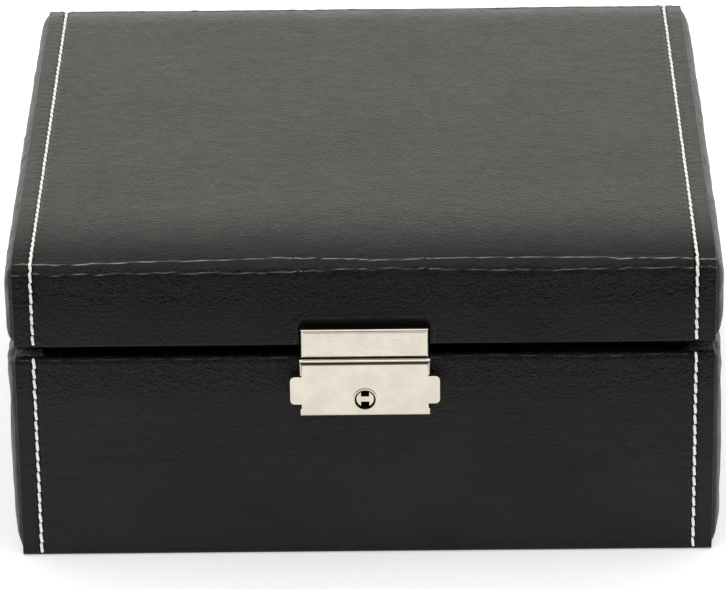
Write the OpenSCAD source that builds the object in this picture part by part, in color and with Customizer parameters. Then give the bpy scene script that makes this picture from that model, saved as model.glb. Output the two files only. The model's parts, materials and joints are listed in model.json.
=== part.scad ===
// Jewelry gift box: a wooden box covered in stitched leatherette, with a hinged lid,
// a squeeze-tab lock with a key barrel, velvet linings and a lift-out tray.
// Millimetres. +Z is up, the front faces -Y, and the origin is on the table under the box.

/* [Box] */
// Width across the front and back wraps
box_w = 240; // [220:1:300]
// Depth from the front wrap to the back wrap
box_d = 235; // [215:1:290]
// Height of the base
base_h = 76; // [70:1:100]
// Height of the lid
lid_h = 30.8; // [28:0.2:45]
// Gap between the base and the closed lid
lid_gap = 4.2; // [3.4:0.1:5.2]

/* [Boards] */
// Thickness of the wall boards
wall_t = 7; // [5.5:0.1:10]
// Thickness of the floor board
floor_t = 5; // [4:0.5:8]
// Thickness of the lid's top board
lid_top_t = 5; // [4:0.5:7]

/* [Covering] */
// Thickness of the leatherette
leather_t = 1.2; // [0.8:0.02:1.6]
// Outer radius of the lid's front and back bends
lid_bend_r = 6; // [5:0.5:8]
// Outer radius of the base wrap's bends
base_bend_r = 2.4; // [2:0.1:4]
// Foam under the leatherette on top of the lid
foam_t = 2; // [1:0.5:3]
// How far a side pad lies behind the wrap's cut edge before it swells
pad_lip = 0.4; // [0.2:0.1:0.8]
// How far a side pad swells past the wrap's cut edge
pad_crown = 3; // [1:0.5:5]
// Width of a side pad's rounded border
pad_round = 9; // [5:0.5:11]
// Width of a side pad's rounded border along the lid gap
pad_gap_round = 4; // [2:0.5:6]
// How far the wrap's hem stays above the table
hem_lift = 0.3; // [0.2:0.1:0.6]
// Depth of the wrap's hem under the floor
hem_under = 17; // [12:1:30]

/* [Stitching] */
// Distance of a seam from the wrap's cut edge
stitch_inset = 6.6; // [5:0.1:10]
// Spacing of the stitches
stitch_pitch = 4; // [3:0.1:6]
// Length of one stitch
stitch_len = 3.1; // [2:0.1:4]
// Width of the thread
stitch_w = 1.1; // [0.8:0.1:1.4]
// Height of the thread on the leatherette
stitch_rise = 0.5; // [0.3:0.1:0.8]
// Slant of a stitch from its seam
stitch_slant = 10; // [0:1:20]

/* [Lining] */
// Thickness of the liner panels
liner_t = 3; // [2:0.5:4]
// Thickness of the pad on the floor
floor_pad_t = 3; // [2:0.5:5]
// Thickness of the pad under the lid's top
lid_pad_t = 3; // [2:0.5:5]
// Thickness of the dividers
divider_t = 3; // [2:0.5:4]
// Height of the lower compartments
lower_h = 36.5; // [25:0.5:45]
// Distance of the lower cross dividers from the middle
lower_cross_x = 36; // [30:1:45]

/* [Tray] */
// Height of the tray
tray_h = 28; // [22:1:32]
// Thickness of the tray's frame
tray_wall_t = 4; // [3:0.5:6]
// Thickness of the tray's floor
tray_floor_t = 2.5; // [2:0.5:4]
// Thickness of the pads in the tray
tray_pad_t = 2; // [1:0.5:4]
// Gap round the tray
tray_clear = 0.8; // [0.6:0.1:1.5]
// Place of the tray's long divider, front to back
tray_long_y = -5; // [-20:1:20]
// Distance of the back cross dividers from the middle
tray_cross_x = 34; // [25:1:45]
// Number of ring rolls
roll_count = 6; // [4:1:7]
// Gap between ring rolls
roll_gap = 0.5; // [0.3:0.1:1]
// Height of a ring roll
roll_h = 20; // [16:1:24]
// Width of a pull tab
pull_w = 16; // [10:1:24]
// Height of a pull tab above the tray
pull_rise = 3.5; // [2:0.5:6]

/* [Mirror] */
// Width of the mirror's frame
mirror_w = 160; // [120:1:190]
// Depth of the mirror's frame
mirror_d = 136; // [100:1:190]
// Thickness of the mirror's frame
mirror_frame_t = 3; // [2.5:0.5:4]
// Width of the frame's rails
mirror_rail = 9; // [6:1:15]
// Thickness of the glass
mirror_t = 2; // [1.5:0.1:2.2]

/* [Hinges] */
// Distance of a hinge from the middle
hinge_x = 70; // [50:1:85]
// Length of a hinge
hinge_w = 40; // [30:1:60]
// Thickness of a hinge leaf
leaf_t = 1; // [0.8:0.1:1.3]
// Radius of the hinge pin
hinge_pin_r = 1; // [0.8:0.1:1.2]
// Distance of a hinge screw from the hinge's middle
hinge_screw_x = 13; // [8:1:20]
// Length of a hinge screw under the leaf
hinge_screw_len = 12; // [8:1:16]

/* [Lock] */
// Width of the lock's face
lock_w = 43.5; // [38:0.1:60]
// How far the case's shoulders stand out past its face, each side
shoulder = 0.6; // [0.3:0.1:1]
// Height of the lock case
case_h = 21.3; // [20:0.1:26]
// How far the lock case stands out of the leatherette
case_proud = 5; // [4.6:0.1:6]
// Height of the case's top above the base's top
case_over = 0.9; // [0.5:0.1:1.2]
// Thickness of the case's sheet
case_t = 0.8; // [0.6:0.1:0.9]
// Radius of the case's top front edge
case_top_r = 2; // [1:0.1:2.2]
// Height of the strike plate
strike_h = 10.5; // [8:0.1:14]
// How far the strike plate stands out of the leatherette
strike_proud = 4; // [3:0.1:4.5]
// Gap between the lock case and the strike plate
strike_clear = 0.4; // [0.3:0.1:0.8]
// Height of the bare recess above the strike plate
recess_over = 1.5; // [0.5:0.1:3]
// Height of a push tab
tab_h = 10.4; // [8:0.1:11]
// How far a push tab stands out past the lock's face
tab_out = 3.9; // [3:0.1:6]
// How far a push tab is pushed in
tab_travel = 2.5; // [1.5:0.1:2.7]
// Height of the push tabs' middle above the case's bottom
tab_mid = 9.2; // [8:0.1:10]
// Height of the key barrel's axis above the case's bottom
key_mid = 6.4; // [6:0.1:8]
// Radius of the key barrel
barrel_r = 3; // [2.5:0.1:3.2]
// Radius of the keyhole's mouth
mouth_r = 3.6; // [3.3:0.1:3.8]
// Radius of the keyhole's raised rim
rim_r = 4.25; // [4:0.05:5]
// Radius of the lock's screws
lock_screw_r = 0.9; // [0.8:0.1:1.1]

/* [Hidden] */
$fn = 48;

// Clearances
slip = 0.1;        // between pieces that are set in by hand
pin_clear = 0.05;  // radial, where a shaft turns
set_clear = 0.02;  // radial, where a shaft is fixed
swing_clear = 0.4; // round the lock's moving pieces
rest_gap = 0.05;   // under the tray, where it stands on the lower dividers
past = 1;          // how far a cutting shape runs past what it cuts

// Heights
lid_z = base_h + lid_gap;
top_z = lid_z + lid_h;
floor_z = hem_lift + leather_t;
floor_top_z = floor_z + floor_t;
lower_z = floor_top_z + floor_pad_t;
tray_z = lower_z + lower_h + rest_gap;
tray_top_z = tray_z + tray_h;
tray_floor_top_z = tray_z + tray_floor_t;
liner_top_z = lid_z - slip;
wall_top_z = base_h - leather_t;
lid_wall_z = lid_z + leather_t;
lid_board_top_z = top_z - leather_t - foam_t;
lid_board_z = lid_board_top_z - lid_top_t;
lid_pad_z = lid_board_z - lid_pad_t;
mirror_z = lid_pad_z - mirror_frame_t;

// Half sizes, from the outside in
pad_seat = 2;    // how far the boards' ends lie behind the wraps' cut edges
felt_margin = 6; // how far the felt stays inside the boards' ends
half_w = box_w / 2;
half_d = box_d / 2;
board_w = half_w - pad_seat;
board_d = half_d - leather_t;
wall_in_w = board_w - wall_t;
wall_in_d = board_d - wall_t;
room_w = wall_in_w - liner_t;
room_d = wall_in_d - liner_t;
tray_w = room_w - tray_clear;
tray_d = room_d - tray_clear;
tray_in_w = tray_w - tray_wall_t;
tray_in_d = tray_d - tray_wall_t;
felt_w = board_w - felt_margin;
felt_d = half_d - hem_under - slip;

// Lid bend
bend_y = half_d - lid_bend_r;
bend_z = top_z - lid_bend_r;
lid_board_d = bend_y + sqrt(pow(lid_bend_r - leather_t, 2) - pow(lid_board_top_z - bend_z, 2)) - slip;

// Hinge
knuckle_r = lid_gap / 2;
hinge_y = half_d + knuckle_r + slip;
hinge_z = base_h + knuckle_r;
leaf_margin = 0.2;
leaf_y = wall_in_d + leaf_margin;
knuckle_gap = 0.2;
knuckle_end = hinge_w / 4;
hinge_screw_y = (leaf_y + half_d) / 2;
hinge_screw_r = 1;
hinge_head_r = 2;
hinge_slot_w = 0.5;
hinge_slot_depth = 0.4;

// Lock, as heights and as distances in front of the box's middle
case_w = lock_w + 2 * shoulder;
case_z = base_h + case_over - case_h;
case_top_z = case_z + case_h;
case_y = -half_d - case_proud;
plate_margin = 0.2;
plate_w = case_w / 2 - case_t - plate_margin;
plate_z = case_z + case_t + plate_margin;
plate_top_z = base_h - base_bend_r - plate_margin;
tab_z = case_z + tab_mid - tab_h / 2;
key_z = case_z + key_mid;
strike_z = case_top_z + strike_clear;
strike_top_z = strike_z + strike_h;
strike_y = -half_d - strike_proud;
recess_w = lock_w / 2 + 0.4;
recess_top_z = strike_top_z + recess_over;

// Catch: two barbed prongs under the strike plate
prong_out = 2.9; // distance of a prong's front from the leatherette
prong_y = -half_d - prong_out;
prong_t = 1;
prong_x = 10;
prong_w = 2;
barb_w = 1.2;
barb_h = 1.9;
barb_drop = 0.8; // how far a barb reaches below a push tab's top
prong_z = tab_z + tab_h - barb_drop;
catch_clear = 0.3;

// Sliders of the push tabs, behind the key barrel's sleeve
slider_out = 1.4; // distance of a slider's front from the leatherette
slider_y = -half_d - slider_out;
slider_t = 1.2;
slider_back = slider_y + slider_t;
slider_margin = 1; // how far a slider's edges stay inside its push tab's
tab_front_out = 3.7;
tab_front_y = -half_d - tab_front_out;
tab_corner_r = 1.6;
tab_root = 2; // how far a push tab starts inside the lock's face
neck_x = 5.9;
neck_w = 1.7;
neck_front_y = prong_y - 0.2;
nose_h = 1.9;
nose_z = prong_z + barb_h + catch_clear;
neck_top_z = nose_z + nose_h;

// Key barrel and the cam behind it, which clears the case's floor all the way round
sleeve_r = 3.9;
cam_back = 0.1; // how far the cam lies behind the sliders' front
cam_y = slider_y + cam_back;
cam_t = 1;
cam_w = 4.4;
cam_reach = key_mid - case_t - swing_clear;
cam_len = 2 * sqrt(pow(cam_reach, 2) - pow(cam_w / 2, 2));
neck_z = key_z + cam_reach;
slider_end_x = cam_len / 2 + tab_travel + swing_clear;
spigot_r = 1.6;
spigot_len = 0.8; // how far the spigot reaches into the back plate
spigot_end_y = -half_d + spigot_len;

// Screws of the lock and the strike plate, driven from inside the box
boss_x = 15.5;
boss_r = 1.4;
boss_edge = 2.4;       // distance of the lower bosses from the case's bottom
boss_plate_edge = 1.4; // distance of the upper bosses from the back plate's top
boss_low_z = case_z + boss_edge;
boss_high_z = plate_top_z - boss_plate_edge;
screw_tip_gap = 0.2; // between a screw's tip and the end of its hole
screw_head_r = 2;
screw_head_t = 1.6;
screw_hole_y = case_y + 2 * case_t; // front end of the case's screw holes
strike_hole_y = strike_y + 1.2;     // front end of the strike plate's screw holes
strike_screw_x = 15;
strike_screw_z = (lid_wall_z + strike_top_z) / 2;

leather = "#2b2a29";
side_leather = "#3a3938";
velvet = "#1c1b1d";
thread = "#efece2";
board = "#b98f5e";
nickel = "#d9d3c2";
steel = "#8f9296";

// ---------------------------------------------------------------- shared shapes

// A box from its lowest corner to its highest
module block(low, high) {
    translate(low)
        cube(high - low);
}

// A shape drawn in Y and Z, drawn out along X
module along_x(x0, x1) {
    translate([x0, 0, 0])
        rotate([90, 0, 90])
            linear_extrude(x1 - x0)
                children();
}

// A shape drawn in X and Z, drawn out along Y
module along_y(y0, y1) {
    translate([0, y1, 0])
        rotate([90, 0, 0])
            linear_extrude(y1 - y0)
                children();
}

// A round bar or hole along Y
module rod_y(x, z, r, y0, y1) {
    translate([x, y0, z])
        rotate([-90, 0, 0])
            cylinder(r = r, h = y1 - y0);
}

// A round bar or hole along X
module rod_x(y, z, r, x0, x1) {
    translate([x0, y, z])
        rotate([0, 90, 0])
            cylinder(r = r, h = x1 - x0);
}

// A flat rectangle from its lowest corner to its highest
module patch(low, high) {
    translate(low)
        square(high - low);
}

// Section of the lid in Y and Z, drawn in by inset from its outer face
module lid_section(inset) {
    patch([-half_d + inset, lid_z], [half_d - inset, bend_z]);
    patch([-bend_y, lid_z], [bend_y, top_z - inset]);
    for (side = [-1, 1])
        translate([side * bend_y, bend_z])
            circle(lid_bend_r - inset);
}

// Section of the base in Y and Z, drawn in by inset from its outer face
module base_section(inset) {
    edge_y = half_d - base_bend_r;
    low_z = hem_lift + base_bend_r;
    high_z = base_h - base_bend_r;
    patch([-half_d + inset, low_z], [half_d - inset, high_z]);
    patch([-edge_y, hem_lift + inset], [edge_y, base_h - inset]);
    for (side = [-1, 1])
        for (z = [low_z, high_z])
            translate([side * edge_y, z])
                circle(base_bend_r - inset);
}

// ---------------------------------------------------------------- base boards

module base_floor_board() {
    color(board)
        block([-wall_in_w, -wall_in_d, floor_z], [wall_in_w, wall_in_d, floor_top_z]);
}

// Front wall of the base, with rounded edges where the wrap bends
module front_wall_blank() {
    along_x(-board_w, board_w)
        intersection() {
            base_section(leather_t);
            patch([-half_d, 0], [-wall_in_d, base_h]);
        }
}

module base_front_board() {
    color(board)
        difference() {
            front_wall_blank();
            lock_screw_places()
                rod_y(0, 0, lock_screw_r + set_clear, -board_d - past, -wall_in_d + past);
            lock_screw_places()
                rod_y(0, 0, screw_head_r + slip, -wall_in_d - screw_head_t, -wall_in_d + past);
        }
}

module base_back_board() {
    color(board)
        difference() {
            mirror([0, 1, 0])
                front_wall_blank();
            hinge_screw_places()
                translate([0, 0, base_h - hinge_screw_len])
                    cylinder(r = hinge_screw_r + set_clear, h = hinge_screw_len);
        }
}

module side_wall(x0, x1) {
    block([x0, -wall_in_d, floor_z], [x1, wall_in_d, wall_top_z]);
}

module base_left_board() {
    color(board)
        side_wall(-board_w, -wall_in_w);
}

module base_right_board() {
    color(board)
        side_wall(wall_in_w, board_w);
}

// ---------------------------------------------------------------- base covering

// Wrap over the front wall, turned in over its top and under the floor
module front_wrap_blank() {
    mid_z = base_h / 2;
    along_x(-half_w, half_w)
        difference() {
            base_section(0);
            base_section(leather_t);
            patch([-wall_in_d, mid_z], [half_d + past, base_h + past]);
            patch([-half_d + hem_under, 0], [half_d + past, mid_z]);
        }
}

module base_front_wrap() {
    color(leather)
        difference() {
            front_wrap_blank();
            block([-plate_w - slip, -half_d - past, plate_z - slip],
                  [plate_w + slip, -board_d + slip, plate_top_z + slip]);
        }
}

module base_back_wrap() {
    color(leather)
        difference() {
            mirror([0, 1, 0])
                front_wrap_blank();
            hinge_screw_places()
                translate([0, 0, wall_top_z - past])
                    cylinder(r = hinge_screw_r + set_clear, h = leather_t + 2 * past);
        }
}

// Steps of a side pad's rounded border, and the border at each of them
pad_steps = 5;
pad_end_y = wall_in_d - slip;

function pad_inset(k) = pad_round * (1 - cos(90 * k / pad_steps));
function pad_gap_inset(k) = pad_gap_round * (1 - cos(90 * k / pad_steps));
function pad_x(k) = half_w - pad_lip + (pad_crown + pad_lip) * sin(90 * k / pad_steps);

// Right side pad: swells out of the lip between the wraps and turns in over the side board
module base_right_pad_blank() {
    difference() {
        hull()
            for (k = [0:pad_steps])
                block([board_w, -board_d + slip + pad_inset(k), floor_z + slip + pad_inset(k)],
                      [pad_x(k), board_d - slip - pad_inset(k), base_h - pad_gap_inset(k)]);
        along_x(board_w - past, half_w + slip)
            difference() {
                patch([-half_d, 0], [half_d, base_h + past]);
                base_section(leather_t + slip);
                patch([-pad_end_y, base_h / 2], [pad_end_y, base_h + 2 * past]);
            }
    }
    block([wall_in_w, -pad_end_y, wall_top_z], [board_w + slip, pad_end_y, base_h]);
}

module base_right_pad() {
    color(side_leather)
        base_right_pad_blank();
}

module base_left_pad() {
    color(side_leather)
        mirror([1, 0, 0])
            base_right_pad_blank();
}

module bottom_felt() {
    color("#202124")
        block([-felt_w, -felt_d, 0], [felt_w, felt_d, floor_z]);
}

// ---------------------------------------------------------------- stitching

// One stitch, lying along local Y on the local XY plane
module stitch() {
    rotate([0, 0, stitch_slant])
        translate([-stitch_w / 2, -stitch_len / 2, 0])
            cube([stitch_w, stitch_len, stitch_rise]);
}

// Place on the lid's outer face at a distance along the seam: [y, z, slope]
front_run = bend_z - lid_z;
bend_run = lid_bend_r * PI / 2;
top_run = 2 * bend_y;
lid_run = 2 * front_run + 2 * bend_run + top_run;

function on_bend(side, angle) =
    [side * bend_y + lid_bend_r * cos(angle), bend_z + lid_bend_r * sin(angle), angle - 90];

function on_lid(s) =
    s < front_run ? [-half_d, lid_z + s, 90] :
    s < front_run + bend_run ? on_bend(-1, 180 - 90 * (s - front_run) / bend_run) :
    s < front_run + bend_run + top_run ? [-bend_y + s - front_run - bend_run, top_z, 0] :
    s < lid_run - front_run ? on_bend(1, 90 - 90 * (s - front_run - bend_run - top_run) / bend_run) :
    [half_d, lid_z + lid_run - s, -90];

module lid_seam(x) {
    count = floor((lid_run - stitch_pitch) / stitch_pitch);
    start = (lid_run - (count - 1) * stitch_pitch) / 2;
    for (k = [0:count - 1]) {
        place = on_lid(start + k * stitch_pitch);
        translate([x, place[0], place[1]])
            rotate([place[2], 0, 0])
                stitch();
    }
}

module base_seam(x) {
    low_z = hem_lift + base_bend_r + stitch_len / 2;
    high_z = base_h - base_bend_r - stitch_len / 2;
    count = floor((high_z - low_z) / stitch_pitch);
    for (k = [0:count])
        for (side = [-1, 1])
            translate([x, side * half_d, high_z - k * stitch_pitch])
                rotate([-side * 90, 0, 0])
                    stitch();
}

module base_left_stitching() {
    color(thread)
        base_seam(-half_w + stitch_inset);
}

module base_right_stitching() {
    color(thread)
        base_seam(half_w - stitch_inset);
}

module lid_left_stitching() {
    color(thread)
        lid_seam(-half_w + stitch_inset);
}

module lid_right_stitching() {
    color(thread)
        lid_seam(half_w - stitch_inset);
}

// ---------------------------------------------------------------- base lining

module front_liner() {
    color(velvet)
        block([-wall_in_w, -wall_in_d, floor_top_z], [wall_in_w, -room_d, liner_top_z]);
}

module back_liner() {
    color(velvet)
        block([-wall_in_w, room_d, floor_top_z], [wall_in_w, wall_in_d, liner_top_z]);
}

module left_liner() {
    color(velvet)
        block([-wall_in_w, -room_d, floor_top_z], [-room_w, room_d, liner_top_z]);
}

module right_liner() {
    color(velvet)
        block([room_w, -room_d, floor_top_z], [wall_in_w, room_d, liner_top_z]);
}

module floor_pad() {
    color(velvet)
        block([-room_w + slip, -room_d + slip, floor_top_z], [room_w - slip, room_d - slip, lower_z]);
}

// The lower dividers cross with halving joints
divider_slot = divider_t / 2 + slip;

module lower_long_divider() {
    color(velvet)
        difference() {
            block([-room_w + slip, -divider_t / 2, lower_z],
                  [room_w - slip, divider_t / 2, lower_z + lower_h]);
            for (side = [-1, 1])
                block([side * lower_cross_x - divider_slot, -divider_t, lower_z + lower_h / 2 - slip],
                      [side * lower_cross_x + divider_slot, divider_t, lower_z + lower_h + past]);
        }
}

module lower_cross_dividers() {
    color(velvet)
        for (side = [-1, 1])
            difference() {
                block([side * lower_cross_x - divider_t / 2, -room_d + slip, lower_z],
                      [side * lower_cross_x + divider_t / 2, room_d - slip, lower_z + lower_h]);
                block([side * lower_cross_x - divider_t, -divider_slot, lower_z - past],
                      [side * lower_cross_x + divider_t, divider_slot, lower_z + lower_h / 2]);
            }
}

// ---------------------------------------------------------------- lid boards and covering

module lid_top_board() {
    color(board)
        block([-board_w, -lid_board_d, lid_board_z], [board_w, lid_board_d, lid_board_top_z]);
}

module lid_front_board() {
    color(board)
        difference() {
            block([-board_w, -board_d, lid_wall_z], [board_w, -wall_in_d, lid_board_z]);
            strike_screw_places()
                rod_y(0, 0, lock_screw_r + set_clear, -board_d - past, -wall_in_d + past);
            strike_screw_places()
                rod_y(0, 0, screw_head_r + slip, -wall_in_d - screw_head_t, -wall_in_d + past);
        }
}

module lid_back_board() {
    color(board)
        difference() {
            block([-board_w, wall_in_d, lid_wall_z], [board_w, board_d, lid_board_z]);
            hinge_screw_places()
                translate([0, 0, lid_z])
                    cylinder(r = hinge_screw_r + set_clear, h = hinge_screw_len);
        }
}

module lid_left_board() {
    color(board)
        block([-board_w, -wall_in_d, lid_wall_z], [-wall_in_w, wall_in_d, lid_board_z]);
}

module lid_right_board() {
    color(board)
        block([wall_in_w, -wall_in_d, lid_wall_z], [board_w, wall_in_d, lid_board_z]);
}

module lid_foam() {
    color("#d8d2bc")
        along_x(-board_w, board_w)
            intersection() {
                lid_section(leather_t + slip);
                patch([-half_d, lid_board_top_z], [half_d, top_z]);
            }
}

// One sheet over the lid's front, top and back, turned in under both edges
module lid_wrap() {
    color(leather)
        difference() {
            along_x(-half_w, half_w) {
                difference() {
                    lid_section(0);
                    lid_section(leather_t);
                }
                patch([-half_d, lid_z], [-wall_in_d, lid_wall_z]);
                patch([wall_in_d, lid_z], [half_d, lid_wall_z]);
            }
            block([-recess_w, -half_d - past, lid_z - past], [recess_w, -board_d, recess_top_z]);
            hinge_screw_places()
                translate([0, 0, lid_z - past])
                    cylinder(r = hinge_screw_r + set_clear, h = leather_t + 2 * past);
        }
}

// Outline of a lid pad in Y and Z, drawn in by inset at the top and ends
module lid_pad_outline(inset, low_inset) {
    patch([-board_d + slip + inset, lid_z + low_inset], [board_d - slip - inset, bend_z - inset]);
    for (side = [-1, 1])
        translate([side * (bend_y - inset), bend_z - inset])
            circle(lid_bend_r - leather_t - slip, $fn = 32);
}

module lid_right_pad_blank() {
    difference() {
        hull()
            for (k = [0:pad_steps])
                along_x(board_w, pad_x(k))
                    lid_pad_outline(pad_inset(k), pad_gap_inset(k));
        for (y = [-half_d, pad_end_y])
            block([board_w - past, y, lid_z - past],
                  [half_w + slip, y + half_d - pad_end_y, lid_wall_z + slip]);
    }
    block([wall_in_w, -pad_end_y, lid_z], [board_w + slip, pad_end_y, lid_wall_z]);
}

module lid_right_pad() {
    color(side_leather)
        lid_right_pad_blank();
}

module lid_left_pad() {
    color(side_leather)
        mirror([1, 0, 0])
            lid_right_pad_blank();
}

// ---------------------------------------------------------------- lid lining and mirror

module lid_liner() {
    color(velvet)
        difference() {
            block([-wall_in_w, -wall_in_d, lid_z], [wall_in_w, wall_in_d, lid_board_z]);
            block([-room_w, -room_d, lid_z - past], [room_w, room_d, lid_board_z + past]);
        }
}

module lid_lining_pad() {
    color(velvet)
        block([-room_w + slip, -room_d + slip, lid_pad_z], [room_w - slip, room_d - slip, lid_board_z]);
}

// A slab as large as the mirror's frame, drawn in by inset
module mirror_slab(inset, low_z, high_z) {
    block([-mirror_w / 2 + inset, -mirror_d / 2 + inset, low_z],
          [mirror_w / 2 - inset, mirror_d / 2 - inset, high_z]);
}

mirror_rebate = 1.5; // how far the glass reaches under the rails

module mirror_frame() {
    color(velvet)
        difference() {
            mirror_slab(0, mirror_z, lid_pad_z);
            mirror_slab(mirror_rail, mirror_z - past, lid_pad_z + past);
            mirror_slab(mirror_rail - mirror_rebate, lid_pad_z - mirror_t - slip, lid_pad_z + past);
        }
}

module mirror_glass() {
    color("#cfd8dc")
        mirror_slab(mirror_rail - mirror_rebate + slip, lid_pad_z - mirror_t, lid_pad_z);
}

// ---------------------------------------------------------------- hinges

module hinge_screw_places() {
    for (side = [-1, 1])
        for (end = [-1, 1])
            translate([side * hinge_x + end * hinge_screw_x, hinge_screw_y, 0])
                children();
}

// Knuckle between two places along the hinge
module knuckle(x0, x1) {
    rod_x(hinge_y, hinge_z, knuckle_r, x0, x1);
}

// Leaf on top of the base, with the two end knuckles
module base_leaf(x) {
    x0 = x - hinge_w / 2;
    x1 = x + hinge_w / 2;
    color(nickel)
        difference() {
            union() {
                block([x0, leaf_y, base_h], [x1, half_d, base_h + leaf_t]);
                for (start = [x0, x1 - knuckle_end]) {
                    block([start, half_d - slip, base_h],
                          [start + knuckle_end, hinge_y, base_h + leaf_t]);
                    knuckle(start, start + knuckle_end);
                }
            }
            rod_x(hinge_y, hinge_z, hinge_pin_r + set_clear, x0 - past, x1 + past);
            for (end = [-1, 1])
                translate([x + end * hinge_screw_x, hinge_screw_y, base_h - past]) {
                    cylinder(r = hinge_screw_r + set_clear, h = leaf_t + 2 * past);
                    translate([0, 0, past])
                        cylinder(r1 = hinge_screw_r + set_clear, r2 = hinge_head_r + set_clear,
                                 h = leaf_t);
                }
        }
}

// Leaf under the lid, with the middle knuckle
module lid_leaf(x) {
    x0 = x - hinge_w / 2;
    x1 = x + hinge_w / 2;
    mid0 = x0 + knuckle_end + knuckle_gap;
    mid1 = x1 - knuckle_end - knuckle_gap;
    color(nickel)
        difference() {
            union() {
                block([x0, leaf_y, lid_z - leaf_t], [x1, half_d, lid_z]);
                block([mid0, half_d - slip, lid_z - leaf_t], [mid1, hinge_y, lid_z]);
                knuckle(mid0, mid1);
            }
            rod_x(hinge_y, hinge_z, hinge_pin_r + pin_clear, x0 - past, x1 + past);
            for (end = [-1, 1])
                translate([x + end * hinge_screw_x, hinge_screw_y, lid_z - leaf_t - past]) {
                    cylinder(r = hinge_screw_r + set_clear, h = leaf_t + 2 * past);
                    translate([0, 0, past])
                        cylinder(r1 = hinge_head_r + set_clear, r2 = hinge_screw_r + set_clear,
                                 h = leaf_t);
                }
        }
}

module left_hinge_base_leaf() {
    base_leaf(-hinge_x);
}

module right_hinge_base_leaf() {
    base_leaf(hinge_x);
}

module left_hinge_lid_leaf() {
    lid_leaf(-hinge_x);
}

module right_hinge_lid_leaf() {
    lid_leaf(hinge_x);
}

module hinge_pin(x) {
    color(steel)
        rod_x(hinge_y, hinge_z, hinge_pin_r, x - hinge_w / 2, x + hinge_w / 2);
}

module left_hinge_pin() {
    hinge_pin(-hinge_x);
}

module right_hinge_pin() {
    hinge_pin(hinge_x);
}

// Countersunk screw, its head's flat face at z = 0 and its shank below
module hinge_screw() {
    shank = hinge_screw_len - past;
    difference() {
        union() {
            translate([0, 0, -leaf_t])
                cylinder(r1 = hinge_screw_r, r2 = hinge_head_r, h = leaf_t);
            translate([0, 0, -leaf_t - shank])
                cylinder(r = hinge_screw_r, h = shank);
        }
        block([-hinge_head_r, -hinge_slot_w / 2, -hinge_slot_depth],
              [hinge_head_r, hinge_slot_w / 2, past]);
    }
}

module hinge_base_screws() {
    color(steel)
        hinge_screw_places()
            translate([0, 0, base_h + leaf_t])
                hinge_screw();
}

module hinge_lid_screws() {
    color(steel)
        hinge_screw_places()
            translate([0, 0, lid_z - leaf_t])
                mirror([0, 0, 1])
                    hinge_screw();
}

// ---------------------------------------------------------------- lock

module lock_screw_places() {
    for (x = [-boss_x, boss_x])
        for (z = [boss_low_z, boss_high_z])
            translate([x, 0, z])
                children();
}

module strike_screw_places() {
    for (x = [-strike_screw_x, strike_screw_x])
        translate([x, 0, strike_screw_z])
            children();
}

// Outside of the pressed case: round top and side edges, notched for the push tabs
module case_outside() {
    side_r = 0.9;
    low_r = 1;
    w = case_w / 2;
    intersection() {
        along_x(-w, w)
            union() {
                patch([case_y + case_top_r, case_z], [-half_d, case_top_z]);
                patch([case_y, case_z + low_r], [-half_d, case_top_z - case_top_r]);
                patch([case_y + low_r, case_z], [-half_d, case_z + 2 * low_r]);
                translate([case_y + case_top_r, case_top_z - case_top_r])
                    circle(case_top_r);
                translate([case_y + low_r, case_z + low_r])
                    circle(low_r);
            }
        translate([0, 0, case_z])
            linear_extrude(case_h)
                union() {
                    patch([-w + side_r, case_y], [w - side_r, -half_d]);
                    patch([-w, case_y + side_r], [w, -half_d]);
                    for (side = [-1, 1])
                        translate([side * (w - side_r), case_y + side_r])
                            circle(side_r);
                }
    }
}

// Cuts on the right of the case: the notch in its shoulder, the push tab's window, the prong's slot
module case_cuts() {
    notch_margin = 1.2;
    window_margin = 0.2;
    block([lock_w / 2, case_y - past, tab_z - notch_margin],
          [case_w, -half_d + past, tab_z + tab_h + notch_margin]);
    block([lock_w / 2 - 3 * case_t, tab_front_y - window_margin, tab_z - window_margin],
          [case_w, -half_d + past, tab_z + tab_h + window_margin]);
    block([prong_x - barb_w - catch_clear, prong_y - swing_clear, case_top_z - case_t - past],
          [prong_x + prong_w + catch_clear, prong_y + prong_t + swing_clear, case_top_z + past]);
}

module lock_case() {
    color(nickel)
        difference() {
            union() {
                difference() {
                    case_outside();
                    block([-case_w / 2 + case_t, case_y + case_t, case_z + case_t],
                          [case_w / 2 - case_t, -half_d + past, case_top_z - case_t]);
                }
                lock_screw_places()
                    rod_y(0, 0, boss_r, case_y + case_t / 2, -half_d);
            }
            lock_screw_places()
                rod_y(0, 0, lock_screw_r + set_clear, screw_hole_y, -half_d + past);
            case_cuts();
            mirror([1, 0, 0])
                case_cuts();
            rod_y(0, key_z, sleeve_r + set_clear, case_y - past, case_y + case_t + past);
        }
}

module lock_back_plate() {
    color(steel)
        difference() {
            block([-plate_w, -half_d, plate_z], [plate_w, -board_d, plate_top_z]);
            lock_screw_places()
                rod_y(0, 0, lock_screw_r + set_clear, -half_d - past, -board_d + past);
            rod_y(0, key_z, spigot_r + pin_clear, -half_d - past, -board_d + past);
        }
}

// Raised rim and sleeve that the key barrel turns in
module keyhole_bush() {
    mouth_depth = 1.2;
    rim_h = 0.4;
    sleeve_end = slider_y - 0.2;
    color(nickel)
        difference() {
            union() {
                rod_y(0, key_z, rim_r, case_y - rim_h, case_y);
                rod_y(0, key_z, sleeve_r, case_y - rim_h, sleeve_end);
            }
            rod_y(0, key_z, mouth_r, case_y - past, case_y - rim_h + mouth_depth);
            rod_y(0, key_z, barrel_r + pin_clear, case_y - past, sleeve_end + past);
        }
}

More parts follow.
